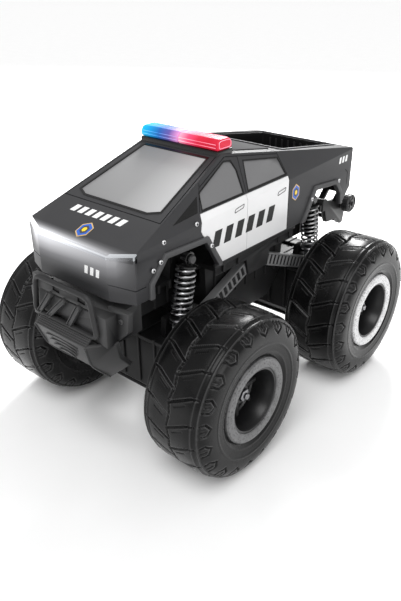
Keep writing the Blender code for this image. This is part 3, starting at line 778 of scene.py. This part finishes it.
def markings():
    """Plain slanted bars and hexagons, printed on the body."""
    hood_bars = slanted_bars(7, -25.6, 6.9, 4.3, -107.3, -101.7, 1.6)
    hood = [top_inlay(outline, -0.1, 0.3) for outline in hood_bars]
    nose = [nose_inlay(outline, -0.1, 0.3) for outline in slanted_bars(3, 11.2, 5.0, 2.8, 136.0, 141.2, 0.9)]
    piece("hood_bars", gathered(*hood, *nose), PRINT, "chassis")
    quarter = slanted_bars(3, 97.6, 4.6, 2.6, 156.6, 161.4, 0.8)
    door = slanted_bars(6, -56.0, 11.6, 7.0, 136.6, 147.4, 3.2)
    badges = [("hood_badge", top_inlay, (0.0, -117.6), 5.0, 6.4, 1)]
    for name, side in SIDES.items():
        white = sided([side_inlay(outline, -0.12, 0.2) for outline in quarter], side)
        piece(f"quarter_bars_{name}", white, PRINT, "chassis")
        black = sided([side_inlay(outline, -0.28, 0.0) for outline in door], side)
        piece(f"door_bars_{name}", black, INK_AND_SHADE, "chassis")
        badges.append((f"quarter_badge_{name}", side_inlay, (38.0, 149.4), 4.4, 6.2, side))
    layers = (("edge", 1.0, BADGE_GOLD, -0.1), ("field", 0.86, BADGE_BLUE, -0.16),
              ("band", 0.55, BADGE_DARK, -0.22), ("centre", 0.3, BADGE_YELLOW, -0.28))
    for name, panel, centre, width, height, side in badges:
        for layer, share, look, outer in layers:
            solid = panel(hexagon(centre, width * share, height * share), outer, 0.2)
            piece(f"{name}_{layer}", on_side(solid, side), look, "chassis")


def cargo_bed():
    tub = combine(
        prism(rounded(grown(BED, -GAP), 1.5), "z", 150.0, 220.0), convex(body_planes(0.3, 100.0)), "INTERSECT"
    )
    tub = cut(tub, prism(rounded(grown(BED, -GAP - 1.8), 1.5), "z", 152.0, 220.0))
    piece("bed_tub", tub, BLACK, "chassis", ["bed_liner"])
    ribs = []
    for index in range(9):
        x = -24.0 + 6.0 * index
        ribs.append(box((x - 0.8, x + 0.8), (105.9, 107.0), (153.5, 164.6)))
        ribs.append(box((x - 0.8, x + 0.8), (36.0, 37.1), (153.5, 176.0)))
    for index in range(11):
        x = -27.5 + 5.5 * index
        ribs.append(box((x - 1.0, x + 1.0), (38.5, 104.5), (151.8, 152.7)))
    ribs = [bevelled(rib, 0.25, 2) for rib in ribs]
    piece("bed_ribs", gathered(*ribs), BLACK, "chassis")
    # The raised rim takes the lighter trim grey, which stands for the highlight along its top: a painted
    # highlight on a real lip.
    rim = cut(
        top_inlay(rounded(grown(BED, 1.7), 2.0), -0.9, 0.1),
        prism(rounded(grown(BED, -0.2), 1.5), "z", 140.0, 230.0),
    )
    piece("bed_rim_painted_highlight", bevelled(rim, 0.2, 2), TRIM, "chassis")


def roof():
    """The raised grey plate between the light bar and the bed."""
    outline = rounded([(-28.0, -12.0), (28.0, -12.0), (31.0, 27.0), (-31.0, 27.0)], 3.0)
    plate = cut(top_inlay(outline, -0.7, 0.3), top_inlay(grown(outline, -3.0), -2.0, -0.25))
    plate = bevelled(plate, 0.2)
    piece("roof_plate", plate, ROOF, "chassis")


def light_strip():
    front = combine(
        convex(body_planes(0.0, 149.4)), box((-60.0, 60.0), (-140.0, -115.0), (100.0, 200.0)), "INTERSECT"
    )
    behind = []
    for point, normal in body_planes(2.2, 90.0):
        is_nose = normal.y < -0.5 and abs(normal.z) < 0.1
        behind.append((point if is_nose else point + normal * 12.0, normal))
    return cut(front, convex(behind))


STRIP_HEIGHT = 2.7


def headlights():
    """The lit strip under the hood's edge, and the body-coloured band that closes the nose below it."""
    hood_point, hood_normal = body_planes()[0]
    beneath = (hood_point - hood_normal * STRIP_HEIGHT, hood_normal)
    under_hood = convex([beneath, (Vector((0.0, 0.0, 100.0)), Vector((0.0, 0.0, -1.0)))])
    lens = bevelled(cut(light_strip(), under_hood), 0.25, 3, 15.0)
    piece("headlight_bar", lens, LED_WHITE, "chassis", ["headlight_strip"])
    band = combine(light_strip(), under_hood, "INTERSECT")
    # The band takes the body's material, with its painted glow.
    piece("headlight_band", band, BODY, "chassis")


LENS_END = 33.9
LENS_SECTION = [
    (-34.2, 191.5), (-34.2, 196.0), (-31.4, 198.4), (-22.1, 198.4), (-19.3, 196.0), (-19.3, 191.5)
]
LENS_RIM = [
    (-32.6, 192.6), (-32.6, 196.6), (-30.6, 197.4), (-22.9, 197.4), (-20.9, 196.6), (-20.9, 192.6)
]
TRAY_BOTTOM = 186.6


def light_bar_tray():
    low, high = (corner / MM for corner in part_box("light_bar_base"))
    tray = block((low.x, high.x), (low.y, high.y), (TRAY_BOTTOM, high.z), 0.8, 3)
    tray = cut(tray, convex(body_planes(-0.1)))
    feet = [
        block((x - 2.5, x + 2.5), (high.y - 0.6, high.y + 1.6), (TRAY_BOTTOM, 190.4), 0.4)
        for x in (-30.0, 0.0, 30.0)
    ]
    piece(
        "light_bar_tray", gathered(tray, *feet), GLOSS_BLACK, "chassis", ["light_bar_base"]
    )


def light_bar_lines():
    """The bright lines along one lens and round its outer end."""
    rows = [(y, z) for z in (193.3, 195.4) for y in (-34.25, -19.25)]
    rows += [(y, 198.35) for y in (-31.0, -28.2, -25.4, -22.6)]
    lines = [sweep([(1.0, y, z), (LENS_END - 1.6, y, z)], 0.22, 8) for y, z in rows]
    rim = [(LENS_END - 0.1, y, z) for y, z in rounded(LENS_RIM, 1.6, 5)]
    return lines + [sweep(rim, 0.25, 8, closed=True)]


def light_bar():
    light_bar_tray()
    section = rounded(LENS_SECTION, 1.6, 5)
    for name, side, look, lamp in (
        ("red", 1, RED_LENS, LENS_CORE_RED), ("blue", -1, BLUE_LENS, LENS_CORE_BLUE)
    ):
        lens = on_side(bevelled(prism(section, "x", 0.15, LENS_END), 1.5, 5, 30.0), side)
        piece(f"light_bar_{name}", lens, look, "chassis", [f"light_bar_lens_{name}"])
        piece(f"light_bar_lines_{name}", sided(light_bar_lines(), side), lamp, "chassis")


def body():
    shell()
    flares()
    windows()
    doors()
    markings()
    cargo_bed()
    roof()
    headlights()
    light_bar()


# ---------------------------------------------------------------- chassis

def from_frame(node):
    """The frame's own solid of a node, in millimetres, with its flat faces merged."""
    solid = bmesh.new()
    solid.from_mesh(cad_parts[node].data)
    bmesh.ops.scale(solid, vec=(1 / MM, 1 / MM, 1 / MM), verts=solid.verts)
    bmesh.ops.remove_doubles(solid, verts=solid.verts, dist=0.002)
    bmesh.ops.dissolve_limit(
        solid, angle_limit=math.radians(1.0), verts=solid.verts, edges=solid.edges
    )
    return solid


def refined(node, look, body_name, width=0.5, extras=()):
    """A frame solid with rounded edges, and details added to it."""
    solid = bevelled(from_frame(node), width, 2, 28.0)
    if extras:
        solid = gathered(solid, *extras)
    return piece(f"{node}_finished", solid, look, body_name, [node])


SCREW_TURNS = {
    "-z": Matrix.Rotation(math.pi / 2, 4, "Y"),
    "-y": Matrix.Rotation(-math.pi / 2, 4, "Z"),
}


def screw_heads(spots, facing):
    profile = [(0.3, -0.6), (1.6, -0.4), (1.6, 0.5), (1.28, 0.9), (0.3, 0.9)]
    return [moved(turned(profile, 18, False), spot, SCREW_TURNS[facing]) for spot in spots]


def side_ribs(x, places, half_width, z, rounding=0.3):
    """Ribs on both sides of the truck, at places along y."""
    ribs = []
    for y in places:
        ribs += both(block(x, (y - half_width, y + half_width), z, rounding, 1))
    return ribs


def chassis():
    skirt = [y for y in range(-100, 101, 10) if abs(y) > 50]
    rail = [-102.0, -90.0, -78.0, -66.0, -54.0, 54.0, 66.0, 78.0, 90.0, 100.0]
    extras = side_ribs((31.7, 33.5), skirt, 1.0, (113.5, 119.2))
    extras += side_ribs((43.6, 45.2), (-40.0, -24.0, 24.0, 38.0), 1.2, (114.0, 122.0))
    extras += both(block((43.6, 45.4), (-50.0, 44.0), (119.2, 122.5), 0.5))
    extras.append(block((-32.0, 32.0), (86.0, 90.0), (126.0, 130.0), 0.4))
    extras += side_ribs((28.0, 28.8), rail, 1.0, (101.0, 116.0), 0.2)
    refined("chassis_deck", BLACK, "chassis", 0.4, extras)
    ribs = side_ribs((32.6, 34.2), range(-36, 37, 12), 1.0, (86.0, 112.0))
    refined("chassis_tub", BLACK, "chassis", 0.6, ribs)
    ribs = [
        block((-16.0, 16.0), (y - 0.7, y + 0.7), (65.7, 66.5), 0.2, 1)
        for y in (-20.0, -14.0, -8.0, -2.0)
    ]
    ribs += screw_heads([(0.0, 10.0, 66.2)], "-z")
    refined("battery_door", BLACK, "chassis", 0.4, ribs)
    refined("battery_pack", WRAP, "chassis", 1.0)
    parts = [
        block((x - 4, x + 4), (y - 3, y + 3), (99.4, 101.2), 0.3, 1)
        for x, y in ((-12, -18), (8, -6), (-6, 14), (16, 20))
    ]
    refined("control_board", BOARD, "chassis", 0.2, parts)
    refined("power_switch", SWITCH, "switch", 0.3)


SCOOP_SLOPE = 0.355


def bumper():
    extras = []
    for height, reach in ((92.5, 15.0), (89.0, 13.0), (85.5, 11.0), (82.0, 8.5)):
        y = -144.9 + (95.6 - height) * SCOOP_SLOPE
        bow = [(x, y - 0.1, height - 1.6 * (x / reach) ** 2) for x in np.linspace(-reach, reach, 13)]
        extras.append(sweep(bow, 0.42, 8))
    for side in (1, -1):
        edge = [
            (side * 24.0, -145.0, 95.4), (side * 22.4, -142.0, 87.0), (side * 21.0, -139.2, 79.4),
            (side * 20.0, -131.4, 70.6), (side * 19.0, -123.2, 62.4),
        ]
        extras.append(sweep([tuple(point) for point in smooth_curve(edge, 2)], 0.7, 8))
    extras += screw_heads([(39.0, -128.2, 112.0), (-39.0, -128.2, 112.0)], "-y")
    for index in range(5):
        share = index / 4
        y = -139.6 - 4.6 * share
        z = 99.4 - 3.4 * share
        extras.append(block((-24.0, 24.0), (y - 0.8, y + 0.8), (z - 0.8, z + 0.4), 0.25))
    refined("front_bumper", BUMPER, "chassis", 0.9, extras)
    bull_bar()


BULL_BAR_TUBE = 1.8
BULL_BAR_SLATS = (
    ((-11.6, 118.0), (-24.6, 101.8)), ((1.6, 118.0), (-15.6, 101.8)), ((15.2, 118.0), (4.0, 101.8))
)


def bull_bar():
    """The hoop, its slotted top plate and three slanted slats with raised edges."""
    hoop = [(-31.4, 99.6), (-26.6, 128.6), (26.6, 128.6), (31.4, 99.6)]
    path = rounded(grown(hoop, -BULL_BAR_TUBE), 5.0, 7)
    parts = [sweep([(x, -139.0, z) for x, z in path], BULL_BAR_TUBE, 14, closed=True)]
    plate = prism([(-24.2, 126.0), (24.2, 126.0), (25.4, 118.6), (-25.4, 118.6)], "y", -138.6, -136.8)
    for x in (-6.5, 17.0):
        slot = [(x - 3.4, 121.2), (x + 3.2, 120.6), (x + 3.4, 123.2), (x - 3.0, 124.0)]
        plate = cut(plate, prism(slot, "y", -140.0, -137.6))
    parts.append(bevelled(plate, 0.35))
    for start, end in BULL_BAR_SLATS:
        parts.append(bevelled(prism(stripe(start, end, 2.6), "y", -140.2, -137.9), 0.6))
        across = (Vector(end) - Vector(start)).normalized().orthogonal()
        for reach in (-1.5, 1.5):
            rail = stripe(Vector(start) + across * reach, Vector(end) + across * reach, 0.6)
            parts.append(bevelled(prism(rail, "y", -140.9, -138.2), 0.15, 1))
    piece("bull_bar_tube", gathered(*parts), BUMPER, "chassis", ["bull_bar"])


def turned_about(solid, share):
    """The solid turned about the X axis by a share of a full turn."""
    return moved(solid, turn=Matrix.Rotation(2 * math.pi * share, 4, "X"))


def rear_end():
    refined("rear_frame", BUMPER, "chassis", 0.5)
    for name in SIDES:
        node = f"wheelie_wheel_{name}"
        radius = size(node).z / 2
        half = size(node).x / 2
        low = half - 0.8
        profile = [(2.2, -half), (3.4, -half), (3.6, -low), (radius - 1.6, -low), (radius - 1.0, -half)]
        profile += [(radius, -low)]
        profile += [(reach, -x) for reach, x in reversed(profile)]
        parts = [turned(profile, 48)]
        for index in range(6):
            spoke = block((-half + 0.3, half - 0.3), (3.0, radius - 1.2), (-0.5, 0.5), 0.15, 1)
            parts.append(turned_about(spoke, index / 6))
        for index in range(24):
            tooth = block((-half + 1.0, half - 1.0), (radius - 0.3, radius + 0.25), (-0.4, 0.4), 0.1, 1)
            parts.append(turned_about(tooth, index / 24))
        piece(f"{node}_tread", gathered(*parts), HUB, node, [node], middle(node))


# ---------------------------------------------------------------- axles and shocks

RUNGS = 13


def ladder(end, sign):
    """The rungs and rails on both faces of an axle's two arms."""
    low_end = Vector((sign * 72.0, 80.2))
    high_end = Vector((sign * 10.0, 105.4))
    along = high_end - low_end
    across = along.normalized().orthogonal()
    parts = []
    for index in range(RUNGS):
        centre = low_end + along * ((index + 0.5) / RUNGS)
        outline = stripe(centre - across * 3.6, centre + across * 3.6, 2.2)
        parts += both(bevelled(prism(outline, "x", 35.2, 41.8), 0.3, 1))
    for offset in (-4.2, 4.2):
        outline = stripe(low_end + across * offset, high_end + across * offset, 1.2)
        parts += both(bevelled(prism(outline, "x", 35.4, 41.6), 0.3, 1))
    piece(f"{end}_ladder_arms", gathered(*parts), ARM, f"{end}_axle")


def gearbox(end, y):
    """The hump on the back of an axle, with its ribs."""
    parts = [block((-24.0, 24.0), (y, y + 13.0), (60.0, 82.0), 1.5, 3)]
    for x in (-16.0, -8.0, 0.0, 8.0, 16.0):
        parts.append(block((x - 0.8, x + 0.8), (y - 0.4, y + 13.6), (61.5, 82.8), 0.4, 1))
    piece(f"{end}_gearbox", gathered(*parts), BLACK, f"{end}_axle")


def axles():
    gearbox("front", -58.2)
    gearbox("rear", 94.0)
    for end, sign in ENDS.items():
        axle = f"{end}_axle"
        y = sign * 76.0
        extras = [
            block((x - 1.0, x + 1.0), (y - 18.4, y + 18.4), (42.0, 80.4), 0.4, 1)
            for x in (-30.0, -15.0, 0.0, 15.0, 30.0)
        ]
        extras.append(block((-42.0, 42.0), (y - 18.2, y + 18.2), (76.4, 79.6), 0.5, 1))
        for side in (1, -1):
            collar = turned([(3.4, 0.0), (8.0, 0.0), (7.0, 3.0), (3.4, 3.0)], 32)
            extras.append(moved(on_side(collar, side), (side * 44.0, y, TYRE_RADIUS)))
        refined(f"{end}_axle_housing", BLACK, axle, 0.5, extras)
        ladder(end, sign)
        screws = screw_heads([(x, y + s * 8.0, 30.0) for x in (-36.0, 0.0, 36.0) for s in (1, -1)], "-z")
        refined(f"{end}_axle_cover", BLACK, axle, 0.4, screws)
        for name in SIDES:
            node = f"{end}_{name}"
            refined(f"{node}_motor", DARK_STEEL, axle, 0.6)
            refined(f"{node}_pinion", BRASS, f"{node}_pinion", 0.1)
            refined(f"{node}_axle_shaft", DARK_STEEL, f"{node}_wheel", 0.2)


SHOCK_TOP = {"front": (-72.0, 134.0), "rear": (69.6, 134.5)}
SHOCK_BOTTOM = {"front": (-81.1, 89.4), "rear": (73.4, 89.6)}
SHOCK_X = 41.2
CUP = 5.0
COILS = 9
COIL_STEPS = 28
COIL_RADIUS = 6.1
WIRE_RADIUS = 0.8
UPRIGHT = Matrix.Rotation(-math.pi / 2, 4, "Y")


def shock_eye(bore):
    return bevelled(turned([(bore, -2.3), (4.5, -2.3), (4.5, 2.3), (bore, 2.3)], 32), 0.3)


def damper():
    """The upper half: a tube with the upper spring cup, hanging from its eye."""
    tube = turned([
        (2.1, -31.0), (3.9, -31.0), (4.3, -30.5), (4.3, -CUP - 1.2), (6.5, -CUP - 0.8),
        (6.9, -CUP - 0.4), (6.9, -CUP + 0.6), (6.5, -CUP + 1.0), (4.2, -CUP + 1.5), (3.4, -2.6),
        (0.2, -2.6), (0.2, -8.0), (2.1, -8.0),
    ], 40)
    return gathered(moved(tube, turn=UPRIGHT), shock_eye(2.4))


def shock_rod():
    """The lower half: a rod with the lower spring cup, standing on its eye."""
    rod = turned([
        (0.2, 2.6), (3.4, 2.6), (4.2, CUP - 1.5), (6.5, CUP - 1.1), (6.9, CUP - 0.7), (6.9, CUP + 0.2),
        (6.5, CUP + 0.6), (3.0, CUP + 0.8), (1.7, CUP + 1.6), (1.7, 28.0), (0.2, 28.0),
    ], 40, closed=False)
    return gathered(moved(rod, turn=UPRIGHT), shock_eye(2.6))


def coil(low, high):
    points = []
    steps = COILS * COIL_STEPS
    for step in range(steps + 1):
        share = step / steps
        angle = share * COILS * 2 * math.pi
        eased = share + 0.012 * math.sin(2 * math.pi * share)
        height = low + (high - low) * eased
        points.append((COIL_RADIUS * math.cos(angle), COIL_RADIUS * math.sin(angle), height))
    return sweep(points, WIRE_RADIUS, 10)


def shock(end, name, side):
    top = Vector((side * SHOCK_X, *SHOCK_TOP[end]))
    bottom = Vector((side * SHOCK_X, *SHOCK_BOTTOM[end]))
    length = (top - bottom).length
    axis = (top - bottom).normalized()
    tilt = Matrix.Rotation(math.atan2(-axis.y, axis.z), 4, "X")
    node = f"{end}_{name}"
    upper = f"{node}_shock_upper"
    piece(
        f"{node}_damper", moved(damper(), turn=tilt), GLOSS_BLACK, upper,
        [f"{node}_shock_body"], top,
    )
    bolt = turned([(0.2, 2.4), (2.6, 2.4), (3.2, 2.9), (3.2, 4.0), (2.4, 4.8), (0.2, 4.8)], 24, False)
    piece(f"{node}_top_bolt", on_side(bolt, side), HUB, "chassis", place=top)
    piece(
        f"{node}_rod", moved(shock_rod(), turn=tilt), DARK_STEEL, f"{node}_shock_lower",
        [f"{node}_shock_rod"], bottom,
    )
    low = CUP + 0.7 + WIRE_RADIUS
    high = length - low
    made = piece(
        f"{node}_coil", moved(coil(low, high), turn=tilt), STEEL, upper,
        [f"{node}_shock_spring"], bottom,
    )
    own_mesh(made)


def shocks():
    for end in ENDS:
        for name, side in SIDES.items():
            shock(end, name, side)


# ---------------------------------------------------------------- wheels

PITCHES = 20
ROUND_STEPS = 600
PROFILE_STEPS = 150
GROOVE_DEPTH = 1.5


def smooth_curve(points, rounds=4):
    """Corner cutting, keeping both ends."""
    for _ in range(rounds):
        cut_points = [points[0]]
        for here, after in zip(points, points[1:]):
            cut_points.append(tuple(0.75 * a + 0.25 * b for a, b in zip(here, after)))
            cut_points.append(tuple(0.25 * a + 0.75 * b for a, b in zip(here, after)))
        cut_points.append(points[-1])
        points = cut_points
    return np.array(points)


def tyre_profile():
    """Places (radius, x) at even steps along the outside, from the inner bead to the outer bead."""
    half = TYRE_HALF_WIDTH
    corners = [
        (TYRE_RADIUS, 0.0), (TYRE_RADIUS, 8.0), (54.6, 15.0), (52.8, 20.6), (48.6, half - 0.6),
        (42.0, half + 0.3), (35.0, half - 0.4), (31.5, half - 1.2), (RIM_RADIUS + 0.3, half - 2.6),
    ]
    curve = smooth_curve(corners)
    whole = np.vstack([curve[::-1] * [1, -1], curve[1:]])
    lengths = np.concatenate([[0.0], np.cumsum(np.hypot(*np.diff(whole, axis=0).T))])
    even = np.linspace(0.0, lengths[-1], PROFILE_STEPS)
    places = np.column_stack([np.interp(even, lengths, whole[:, 0]), np.interp(even, lengths, whole[:, 1])])
    return places, even - lengths[-1] / 2


def groove(u, v, points, width, pitch):
    """How far inside a groove each place is, from 0 outside to 1 at its floor. u repeats every pitch."""
    inside = np.zeros_like(u)
    for (u0, v0), (u1, v1) in zip(points, points[1:]):
        for shift in (-pitch, 0.0, pitch):
            du, dv = u1 - u0, v1 - v0
            share = ((u - u0 - shift) * du + (v - v0) * dv) / (du * du + dv * dv)
            share = np.clip(share, 0.0, 1.0)
            away = np.hypot(u - u0 - shift - share * du, v - v0 - share * dv)
            inside = np.maximum(inside, np.clip((width / 2 + 0.25 - away) / 0.5, 0.0, 1.0))
    return inside * inside * (3 - 2 * inside)


def tread_height(angle, along):
    """Depth below and ridges above the smooth tyre, in millimetres."""
    pitch = 2 * math.pi * TYRE_RADIUS / PITCHES
    u = np.mod(angle * TYRE_RADIUS, pitch)
    height = np.zeros_like(u)
    for sign, shift in ((1.0, 0.0), (-1.0, pitch / 2)):
        v = along * sign
        offset = np.mod(u + shift, pitch)
        arm = [(6.5, 0.8), (0.0, -0.6), (-2.6, 4.5), (-7.6, 14.0), (-8.6, 19.0)]
        height += 0.3 * groove(offset, v, arm[:4], 2.6, pitch)
        height -= (GROOVE_DEPTH + 0.3) * groove(offset, v, arm[:4], 1.2, pitch)
        height -= GROOVE_DEPTH * groove(offset, v, arm[3:], 0.8, pitch)
        branch = [(1.2, 4.0), (-2.4, 11.0)]
        height -= GROOVE_DEPTH * 0.5 * groove(offset, v, branch, 0.4, pitch)
        notch = [(-9.6, 22.6), (-11.0, 26.0), (-7.0, 30.0), (-2.4, 27.4), (-1.6, 22.6)]
        height -= GROOVE_DEPTH * groove(offset, v, notch, 1.0, pitch)
        height -= GROOVE_DEPTH * 0.5 * groove(offset, v, [(-5.4, 22.6), (-6.0, 26.2)], 0.8, pitch)
        for ridge, rise in ((17.2, 0.6), (21.0, 0.9)):
            height += rise * np.clip(1.4 - np.abs(v - ridge) / 0.55, 0.0, 1.0)
        for ring in (36.5, 42.5):
            height += 0.35 * np.clip(1.3 - np.abs(v - ring) / 0.6, 0.0, 1.0)
    return height


def tyre():
    """The rubber skin: a grid round the tyre, pushed in at the grooves and out at the ridges."""
    profile, along = tyre_profile()
    slopes = np.gradient(profile, axis=0)
    normals = np.column_stack([slopes[:, 1], -slopes[:, 0]])
    normals /= np.linalg.norm(normals, axis=1)[:, None]
    angles = np.linspace(0.0, 2 * math.pi, ROUND_STEPS, endpoint=False)
    grid_angle, grid_along = np.meshgrid(angles, along, indexing="ij")
    raised = tread_height(grid_angle, grid_along)
    radius = profile[None, :, 0] + raised * normals[None, :, 0]
    radius = np.minimum(radius, TYRE_RADIUS)
    x = profile[None, :, 1] + raised * normals[None, :, 1]
    inner = np.array([(RIM_RADIUS + 0.3, TYRE_HALF_WIDTH - 8.0), (RIM_RADIUS + 0.3, -TYRE_HALF_WIDTH + 8.0)])
    radius = np.hstack([radius, np.repeat(inner[None, :, 0], ROUND_STEPS, axis=0)])
    x = np.hstack([x, np.repeat(inner[None, :, 1], ROUND_STEPS, axis=0)])
    columns = radius.shape[1]
    places = np.stack([
        x, radius * np.cos(angles)[:, None], radius * np.sin(angles)[:, None]
    ], axis=-1).reshape(-1, 3)
    step = np.arange(ROUND_STEPS)[:, None] * columns
    after = np.roll(np.arange(ROUND_STEPS), -1)[:, None] * columns
    column = np.arange(columns)[None, :]
    beside = np.roll(np.arange(columns), -1)[None, :]
    faces = np.stack([step + column, after + column, after + beside, step + beside], axis=-1).reshape(-1, 4)
    mesh = bpy.data.meshes.new("tyre")
    mesh.from_pydata((places * MM).tolist(), [], faces.tolist())
    mesh.update()
    solid = bmesh.new()
    solid.from_mesh(mesh)
    bmesh.ops.recalc_face_normals(solid, faces=solid.faces)
    solid.to_mesh(mesh)
    solid.free()
    mesh.materials.append(RUBBER)
    mesh.shade_smooth()
    return mesh


def ring_solid():
    half = TYRE_HALF_WIDTH
    profile = [
        (RING_INNER_RADIUS, half - 5.0), (RING_INNER_RADIUS, half - 1.0),
        (RING_INNER_RADIUS + 0.6, half - 0.4), (25.4, half - 0.1), (RIM_RADIUS - 0.9, half - 0.4),
        (RIM_RADIUS, half - 1.4), (RIM_RADIUS, half - 5.0),
    ]
    parts = [turned(profile, 96)]
    for index in range(24):
        dome = turned([(0.05, 0.0), (0.62, 0.0), (0.5, 0.28), (0.05, 0.4)], 12, closed=False)
        angle = 2 * math.pi * index / 24
        parts.append(moved(dome, (half - 0.25, 25.7 * math.cos(angle), 25.7 * math.sin(angle))))
    return gathered(*parts)


def hub_solid():
    half = TYRE_HALF_WIDTH
    deep = 7.0
    wall = RING_INNER_RADIUS
    profile = [
        (2.7, -6.0), (8.0, -6.0), (8.0, 3.0), (26.4, 3.0), (26.4, -22.0), (RIM_RADIUS, -22.0),
        (RIM_RADIUS, half - 5.3), (wall - 0.2, half - 5.3), (wall - 0.2, half - 1.6),
        (wall - 1.4, half - 1.6), (wall - 1.6, half - 4.0), (wall - 3.0, half - 6.0),
        (wall - 3.4, deep + 1.0), (wall - 4.4, deep), (8.6, deep), (8.0, deep + 0.6),
        (7.4, 12.2), (6.6, 13.0), (2.7, 13.0),
    ]
    parts = [turned(profile, 72)]
    for index in range(8):
        spoke = block((deep - 0.5, deep + 3.2), (7.0, wall - 3.2), (-1.3, 1.3), 0.5)
        parts.append(turned_about(spoke, index / 8))
        lug = turned([(0.1, 0.0), (1.2, 0.0), (1.2, 1.0), (0.8, 1.4), (0.1, 1.4)], 14, closed=False)
        angle = 2 * math.pi * (index + 0.5) / 8
        parts.append(moved(lug, (deep, 12.0 * math.cos(angle), 12.0 * math.sin(angle))))
    return gathered(*parts)


def nut_solid():
    nut = bevelled(prism(circle(4.4, 6), "x", 13.3, 16.2), 0.4, 2)
    tip = turned([(0.1, 16.0), (2.2, 16.0), (2.2, 17.4), (1.8, 17.9), (0.1, 17.9)], 24, closed=False)
    return gathered(nut, tip)


def wheels():
    left_skin = tyre()
    right_skin = left_skin.copy()
    right_skin.transform(Matrix.Diagonal((-1.0, 1.0, 1.0, 1.0)))
    right_skin.flip_normals()
    skins = {"left": left_skin, "right": right_skin}
    # The front wheels get the darker copy of the white ring: painted shade.
    rings = {"front": RING_PAINTED_SHADE, "rear": RING}
    for end in ENDS:
        for name, side in SIDES.items():
            node = f"{end}_{name}"
            wheel = f"{node}_wheel"
            centre = middle(f"{node}_tyre")
            made = bpy.data.objects.new(f"{node}_tyre_skin", skins[name])
            bpy.context.scene.collection.objects.link(made)
            made.location = centre * MM
            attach(made, wheel)
            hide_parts(f"{node}_tyre")
            piece(f"{node}_ring", on_side(ring_solid(), side), rings[end], wheel, place=centre)
            hub = on_side(hub_solid(), side)
            piece(f"{node}_hub", hub, HUB, wheel, [f"{node}_rim"], centre)
            piece(f"{node}_nut", on_side(nut_solid(), side), DARK_STEEL, wheel, place=centre)


# ---------------------------------------------------------------- stage

FLOOR_REACH = 6.0


def add_lamp(name, kind, energy, place, direction):
    light = bpy.data.lights.new(name, kind)
    light.energy = energy
    lamp = bpy.data.objects.new(name, light)
    bpy.context.scene.collection.objects.link(lamp)
    lamp.location = place
    lamp.rotation_euler = Vector(direction).to_track_quat("-Z", "Y").to_euler()
    return light


def stage():
    scene = bpy.context.scene
    scene.view_settings.view_transform = "Standard"
    world = bpy.data.worlds.new("studio")
    scene.world = world
    world.use_nodes = True
    sky = world.node_tree.nodes["Background"]
    sky.inputs["Color"].default_value = (1.0, 1.0, 1.0, 1.0)
    sky.inputs["Strength"].default_value = 0.62
    mesh = bpy.data.meshes.new("floor")
    corners = [(x * FLOOR_REACH, y * FLOOR_REACH, 0.0) for x, y in ((-1, -1), (1, -1), (1, 1), (-1, 1))]
    mesh.from_pydata(corners, [], [(0, 1, 2, 3)])
    floor = bpy.data.objects.new("floor", mesh)
    scene.collection.objects.link(floor)
    mesh.materials.append(surface("pale_floor", (0.97, 0.97, 0.97), 0.7, mottle=0.01, bump=0.02))
    add_lamp("overhead", "SUN", 1.5, (0.0, 0.0, 0.0), (-0.2, 0.5, -1.0)).angle = math.radians(35.0)
    for name, place, width, power in (
        ("crown", (-0.52, 0.9, 0.8), 0.45, 22.0), ("side", (1.3, -0.35, 0.6), 0.6, 4.5)
    ):
        add_lamp(name, "AREA", power, place, Vector((0.0, 0.0, 0.1)) - Vector(place)).size = width


def camera():
    azimuth = math.radians(CAMERA_AZIMUTH)
    elevation = math.radians(CAMERA_ELEVATION)
    roll = math.radians(CAMERA_ROLL)
    back = Vector((
        math.sin(azimuth) * math.cos(elevation), -math.cos(azimuth) * math.cos(elevation), math.sin(elevation)
    ))
    right = Vector((0.0, 0.0, 1.0)).cross(back).normalized()
    up = back.cross(right)
    turned_right = right * math.cos(roll) + up * math.sin(roll)
    turned_up = up * math.cos(roll) - right * math.sin(roll)
    lens = bpy.data.cameras.new("camera")
    lens.lens = CAMERA_LENS
    lens.sensor_width = 36.0
    made = bpy.data.objects.new("camera", lens)
    bpy.context.scene.collection.objects.link(made)
    turn = Matrix((turned_right, turned_up, back)).transposed().to_4x4()
    made.matrix_world = Matrix.Translation(CAMERA_PLACE) @ turn
    bpy.context.scene.camera = made


camera()
stage()
body()
chassis()
bumper()
rear_end()
axles()
shocks()
wheels()
